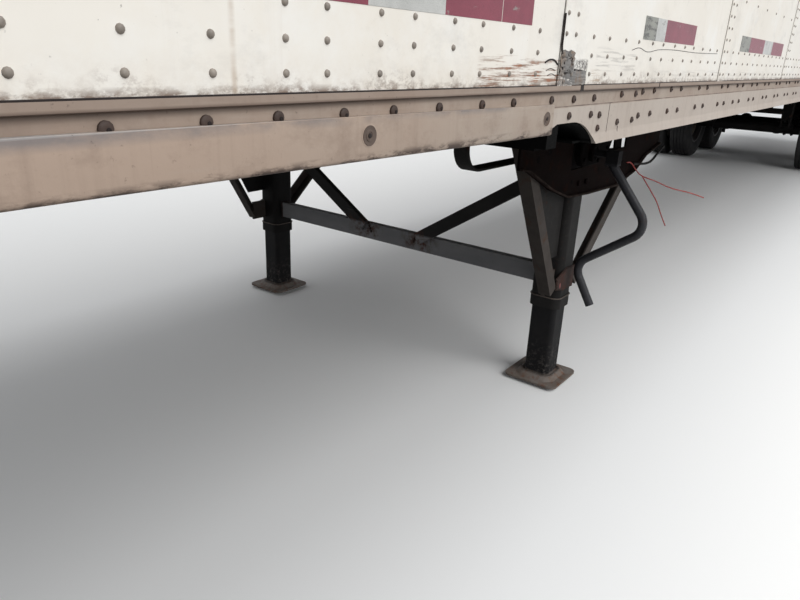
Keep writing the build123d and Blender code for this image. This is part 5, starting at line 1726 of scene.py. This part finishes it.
def buildWheels():
    firstCenter = (axleSpots["front"], twinMiddle, wheelZ)
    tyres = twinTyres(firstCenter)
    rims = joinAll([boredRim(firstCenter, 1), boredRim(firstCenter, -1)])
    centers = {side: (axleSpots["front"], side * twinMiddle, wheelZ) for side, word in sides}
    hubs = {side: hubAndDrum(center, side) for side, center in centers.items()}
    nuts = {side: wheelNuts(center, side) for side, center in centers.items()}
    for axle, x in axleSpots.items():
        for side, word in sides:
            twin = f"{axle}_{word}"
            body = f"wheels_{twin}"
            shift = (x - axleSpots["front"], (side - 1) * twinMiddle, 0)
            along = (shift[0], 0, 0)
            tyrePair = settle(copyTo(tyres, shift), f"tyre_pair_{twin}", "tyre", body, smooth=35)
            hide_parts(f"tyres_{twin}")
            rimPair = settle(copyTo(rims, shift), f"rim_pair_{twin}", "wheel_white", body, smooth=35)
            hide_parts(f"wheel_{twin}")
            settle(copyTo(hubs[side], along), f"hub_{twin}", "worn_steel", body, trims["hubSteel"], 35)
            settle(copyTo(nuts[side], along), f"wheel_nuts_{twin}", "worn_steel", body, trims["hubSteel"], 30)
    for spare in (tyres, rims, hubs[1], hubs[-1], nuts[1], nuts[-1]):
        pick(spare)
        bpy.ops.object.delete()


buildWheels()
print("wheels done")


# Running gear trim: spring U-bolts and clips, chamber clamps, tank straps, holes of the sliding rails
runningTrim = {
    "springY": 0.500,
    "boltSpread": 0.047,
    "boltReach": 0.044,
    "boltRadius": 0.0095,
    "boltBottom": 0.425,
    "boltTop": 0.668,
    "nut": (0.0165, 0.018, ((0.002, 0.001),), 6),
    "clipSpots": (-0.33, 0.33),
    "clipHeight": 0.606,
    "springRise": 0.34,  # how the spring's height grows with the square of the distance
    "chamberClamp": (0.0885, 0.016),
    "tankX": (-2.774, -2.492),
    "tankZ": 0.992,
    "tankStraps": (-0.26, 0.26),
    "hole": (0.0165, 0.0005, ((0.001, 0),), 20),
    "holeHeight": 1.035,
    "holeFirst": -5.85,
    "holeStep": 0.1016,
    "holeCount": 28,
}


def buildSpringBolts():
    rods, plates = [], []
    for x in axleSpots.values():
        for side, word in sides:
            y = side * runningTrim["springY"]
            for ahead in (-runningTrim["boltSpread"], runningTrim["boltSpread"]):
                low, high, reach = runningTrim["boltBottom"], runningTrim["boltTop"], runningTrim["boltReach"]
                bend = ((-reach, low), (-reach, high - 0.02), (-reach * 0.6, high))
                bend += tuple((-across, z) for across, z in reversed(bend))
                route = [(x + ahead, y + across, z) for across, z in bend]
                rods.append(bentRod(route, runningTrim["boltRadius"], 2, "VECTOR", 1))
                for across in (-reach, reach):
                    nutPlace = (x + ahead, y + across, low + 0.030)
                    rods.append(turnedHead(nutPlace, (0, 0, -1), *runningTrim["nut"]))
            plates.append(plate((x - 0.072, y - 0.064, 0.4555), (x + 0.072, y + 0.064, 0.4695), 0.003))
            for spot in runningTrim["clipSpots"]:
                z = runningTrim["clipHeight"] + runningTrim["springRise"] * spot * spot
                back = (x + spot - 0.016, y - 0.0425, z - 0.020)
                plates.append(plate(back, (x + spot + 0.016, y + 0.0425, z + 0.030), 0.002))
    settle(joinAll(rods), "spring_u_bolts", "dark_steel", smooth=35)
    settle(joinAll(plates), "spring_clips", "dark_steel", smooth=30)


def buildChamberClamps():
    low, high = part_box("brake_chambers")
    radius, depth = runningTrim["chamberClamp"]
    clamps = []
    for x in axleSpots.values():
        for side, word in sides:
            middle = (x - 0.199 - depth / 2, side * (high[1] - 0.084), high[2] - 0.084)
            clamps.append(turnedHead(middle, (1, 0, 0), radius, depth, ((0.002, 0.0),), 36))
    settle(joinAll(clamps), "chamber_clamps", "dark_steel", smooth=30)


def buildTankStraps():
    straps = []
    for x in runningTrim["tankX"]:
        for y in runningTrim["tankStraps"]:
            outline = ((-0.016, 0.1195), (-0.016, 0.1225), (0.016, 0.1225), (0.016, 0.1195))
            straps.append(spunShape(outline, (x, y, runningTrim["tankZ"]), 40))
            straps.append(plate((x + 0.118, y - 0.016, 0.985), (x + 0.122, y + 0.016, 1.112), 0.001))
    settle(joinAll(straps), "tank_straps", "frame_steel", smooth=30)


def buildSliderHoles():
    low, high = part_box("tandem_frame")
    holes = []
    for side, word in sides:
        place = (runningTrim["holeFirst"], side * high[1], runningTrim["holeHeight"])
        hole = turnedHead(place, (0, side, 0), *runningTrim["hole"])
        repeatAlong(hole, runningTrim["holeCount"], (runningTrim["holeStep"], 0, 0))
        holes.append(hole)
    settle(joinAll(holes), "slider_holes", "frame_steel", finish=trims["darkGap"])


buildSpringBolts()
buildChamberClamps()
buildTankStraps()
buildSliderHoles()
print("running gear done")


# Rear doors: seals in the gaps, bolts of the hinge straps and of the rod guides
doorTrim = {
    "sealWidth": 0.020,
    "sealProud": 0.004,
    "strapBolts": (1.165, 1.085, 1.005),
    "strapFace": 0.008,
    "strapBolt": (0.0105, 0.005, ((0.003, 0.002),), 12),
    "guideBolt": (0.008, 0.005, ((0.002, 0.0015),), 12),
    "hingeEnd": 0.170,  # the outermost hinges, in from the door's ends
    "guideEnd": 0.120,
    "rodSpots": (0.260, 0.930),
    "guideBoltOut": 0.034,
    "hingeCount": 4,
    "guideCount": 4,
}


def upTheDoor(bottom, top, end, count):
    # Even heights from end above the bottom to end below the top
    return [bottom + end + step * (top - bottom - 2 * end) / (count - 1) for step in range(count)]


def buildDoorTrim(side, word):
    low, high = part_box(f"door_{word}")
    face, body = low[0], f"door_{word}_body"
    wide, proud = doorTrim["sealWidth"], doorTrim["sealProud"]
    inner, outer = sorted((abs(low[1]), abs(high[1])))
    seals = []
    for start, end, bottom, top in (
        (inner, outer, low[2], low[2] + wide), (inner, outer, high[2] - wide, high[2]),
        (inner, inner + wide, low[2], high[2]), (outer - wide, outer, low[2], high[2]),
    ):
        seals.append(plate((face - proud, side * start, bottom), (face + 0.002, side * end, top), 0.0015))
    settle(joinAll(seals), f"door_seal_{word}", "black_rubber", body, smooth=30)
    bolts = []
    for z in upTheDoor(low[2], high[2], doorTrim["hingeEnd"], doorTrim["hingeCount"]):
        for y in doorTrim["strapBolts"]:
            place = (face - doorTrim["strapFace"], side * y, z)
            bolts.append(turnedHead(place, (-1, 0, 0), *doorTrim["strapBolt"]))
    for z in upTheDoor(low[2], high[2], doorTrim["guideEnd"], doorTrim["guideCount"]):
        for spot in doorTrim["rodSpots"]:
            for out in (-doorTrim["guideBoltOut"], doorTrim["guideBoltOut"]):
                place = (face, side * (spot + out), z)
                bolts.append(turnedHead(place, (-1, 0, 0), *doorTrim["guideBolt"]))
    settle(joinAll(bolts), f"door_bolts_{word}", "galvanised", body, smooth=30)


for side, word in sides:
    buildDoorTrim(side, word)
print("doors done")


# Front wall rivets, the couplings' seals and the mud flaps' clamp bars
frontTrim = {
    "columns": (-1.16, -0.80, -0.40, 0.0, 0.40, 0.80, 1.16),
    "firstZ": 1.53,
    "count": 24,
    "step": 0.1016,
    "rivet": (0.0062, 0.0020, ((0.0022, 0.0010), (0.0018, 0.0003)), 8),
    "couplingY": (-0.17, 0.17),
    "couplingZ": 1.375,
    "seal": (0.0235, 0.004, ((0.007, 0.0), (0.002, -0.003), (0.004, -0.001)), 28),
    "flapWidth": 0.610,
    "barHeights": (0.980, 1.020),
    "barDepth": 0.006,
    "flapBolt": (0.009, 0.006, ((0.002, 0.001),), 6),
    "flapBolts": (0.055, 0.180, 0.305, 0.430, 0.555),  # out from the flap's inner edge
}


def buildFrontTrim():
    low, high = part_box("front_wall")
    columns = []
    for y in frontTrim["columns"]:
        head = turnedHead((high[0] - 0.0008, y, frontTrim["firstZ"]), (1, 0, 0), *frontTrim["rivet"])
        repeatAlong(head, frontTrim["count"], (0, 0, frontTrim["step"]))
        columns.append(head)
    settle(joinAll(columns), "front_rivets", "white_panel", finish=trims["rivetPaint"], smooth=40)
    boxLow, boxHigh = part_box("nose_box")
    seals = []
    for y in frontTrim["couplingY"]:
        place = (boxHigh[0] - 0.0005, y, frontTrim["couplingZ"])
        seals.append(turnedHead(place, (1, 0, 0), *frontTrim["seal"]))
    settle(joinAll(seals), "coupling_seals", "black_rubber", smooth=30)
    flapLow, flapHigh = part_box("mud_flaps")
    bars, bolts = [], []
    x, outer = flapLow[0], flapHigh[1]
    inner, face = outer - frontTrim["flapWidth"], x - frontTrim["barDepth"]
    bottom, top = frontTrim["barHeights"]
    for side, word in sides:
        bars.append(plate((face, side * inner, bottom), (x, side * outer, top), 0.0015))
        for out in frontTrim["flapBolts"]:
            place = (face, side * (inner + out), (bottom + top) / 2)
            bolts.append(turnedHead(place, (-1, 0, 0), *frontTrim["flapBolt"]))
    settle(joinAll(bars), "flap_bars", "galvanised", smooth=30)
    settle(joinAll(bolts), "flap_bolts", "galvanised", smooth=30)


buildFrontTrim()


# Roof: rivets along both edges of the sheet
roofTrim = {
    "first": -7.90,
    "step": 0.1524,
    "count": 104,
    "inset": 0.030,
    "rivet": (0.0065, 0.0020, ((0.0024, 0.0010),), 8),
}


def buildRoofRivets():
    low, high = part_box("roof")
    rows = []
    for side, word in sides:
        place = (roofTrim["first"], side * (high[1] - roofTrim["inset"]), high[2] - 0.0006)
        head = turnedHead(place, (0, 0, 1), *roofTrim["rivet"])
        repeatAlong(head, roofTrim["count"], (roofTrim["step"], 0, 0))
        rows.append(head)
    settle(joinAll(rows), "roof_rivets", "aluminium", smooth=40)


buildRoofRivets()
print("front and roof done")
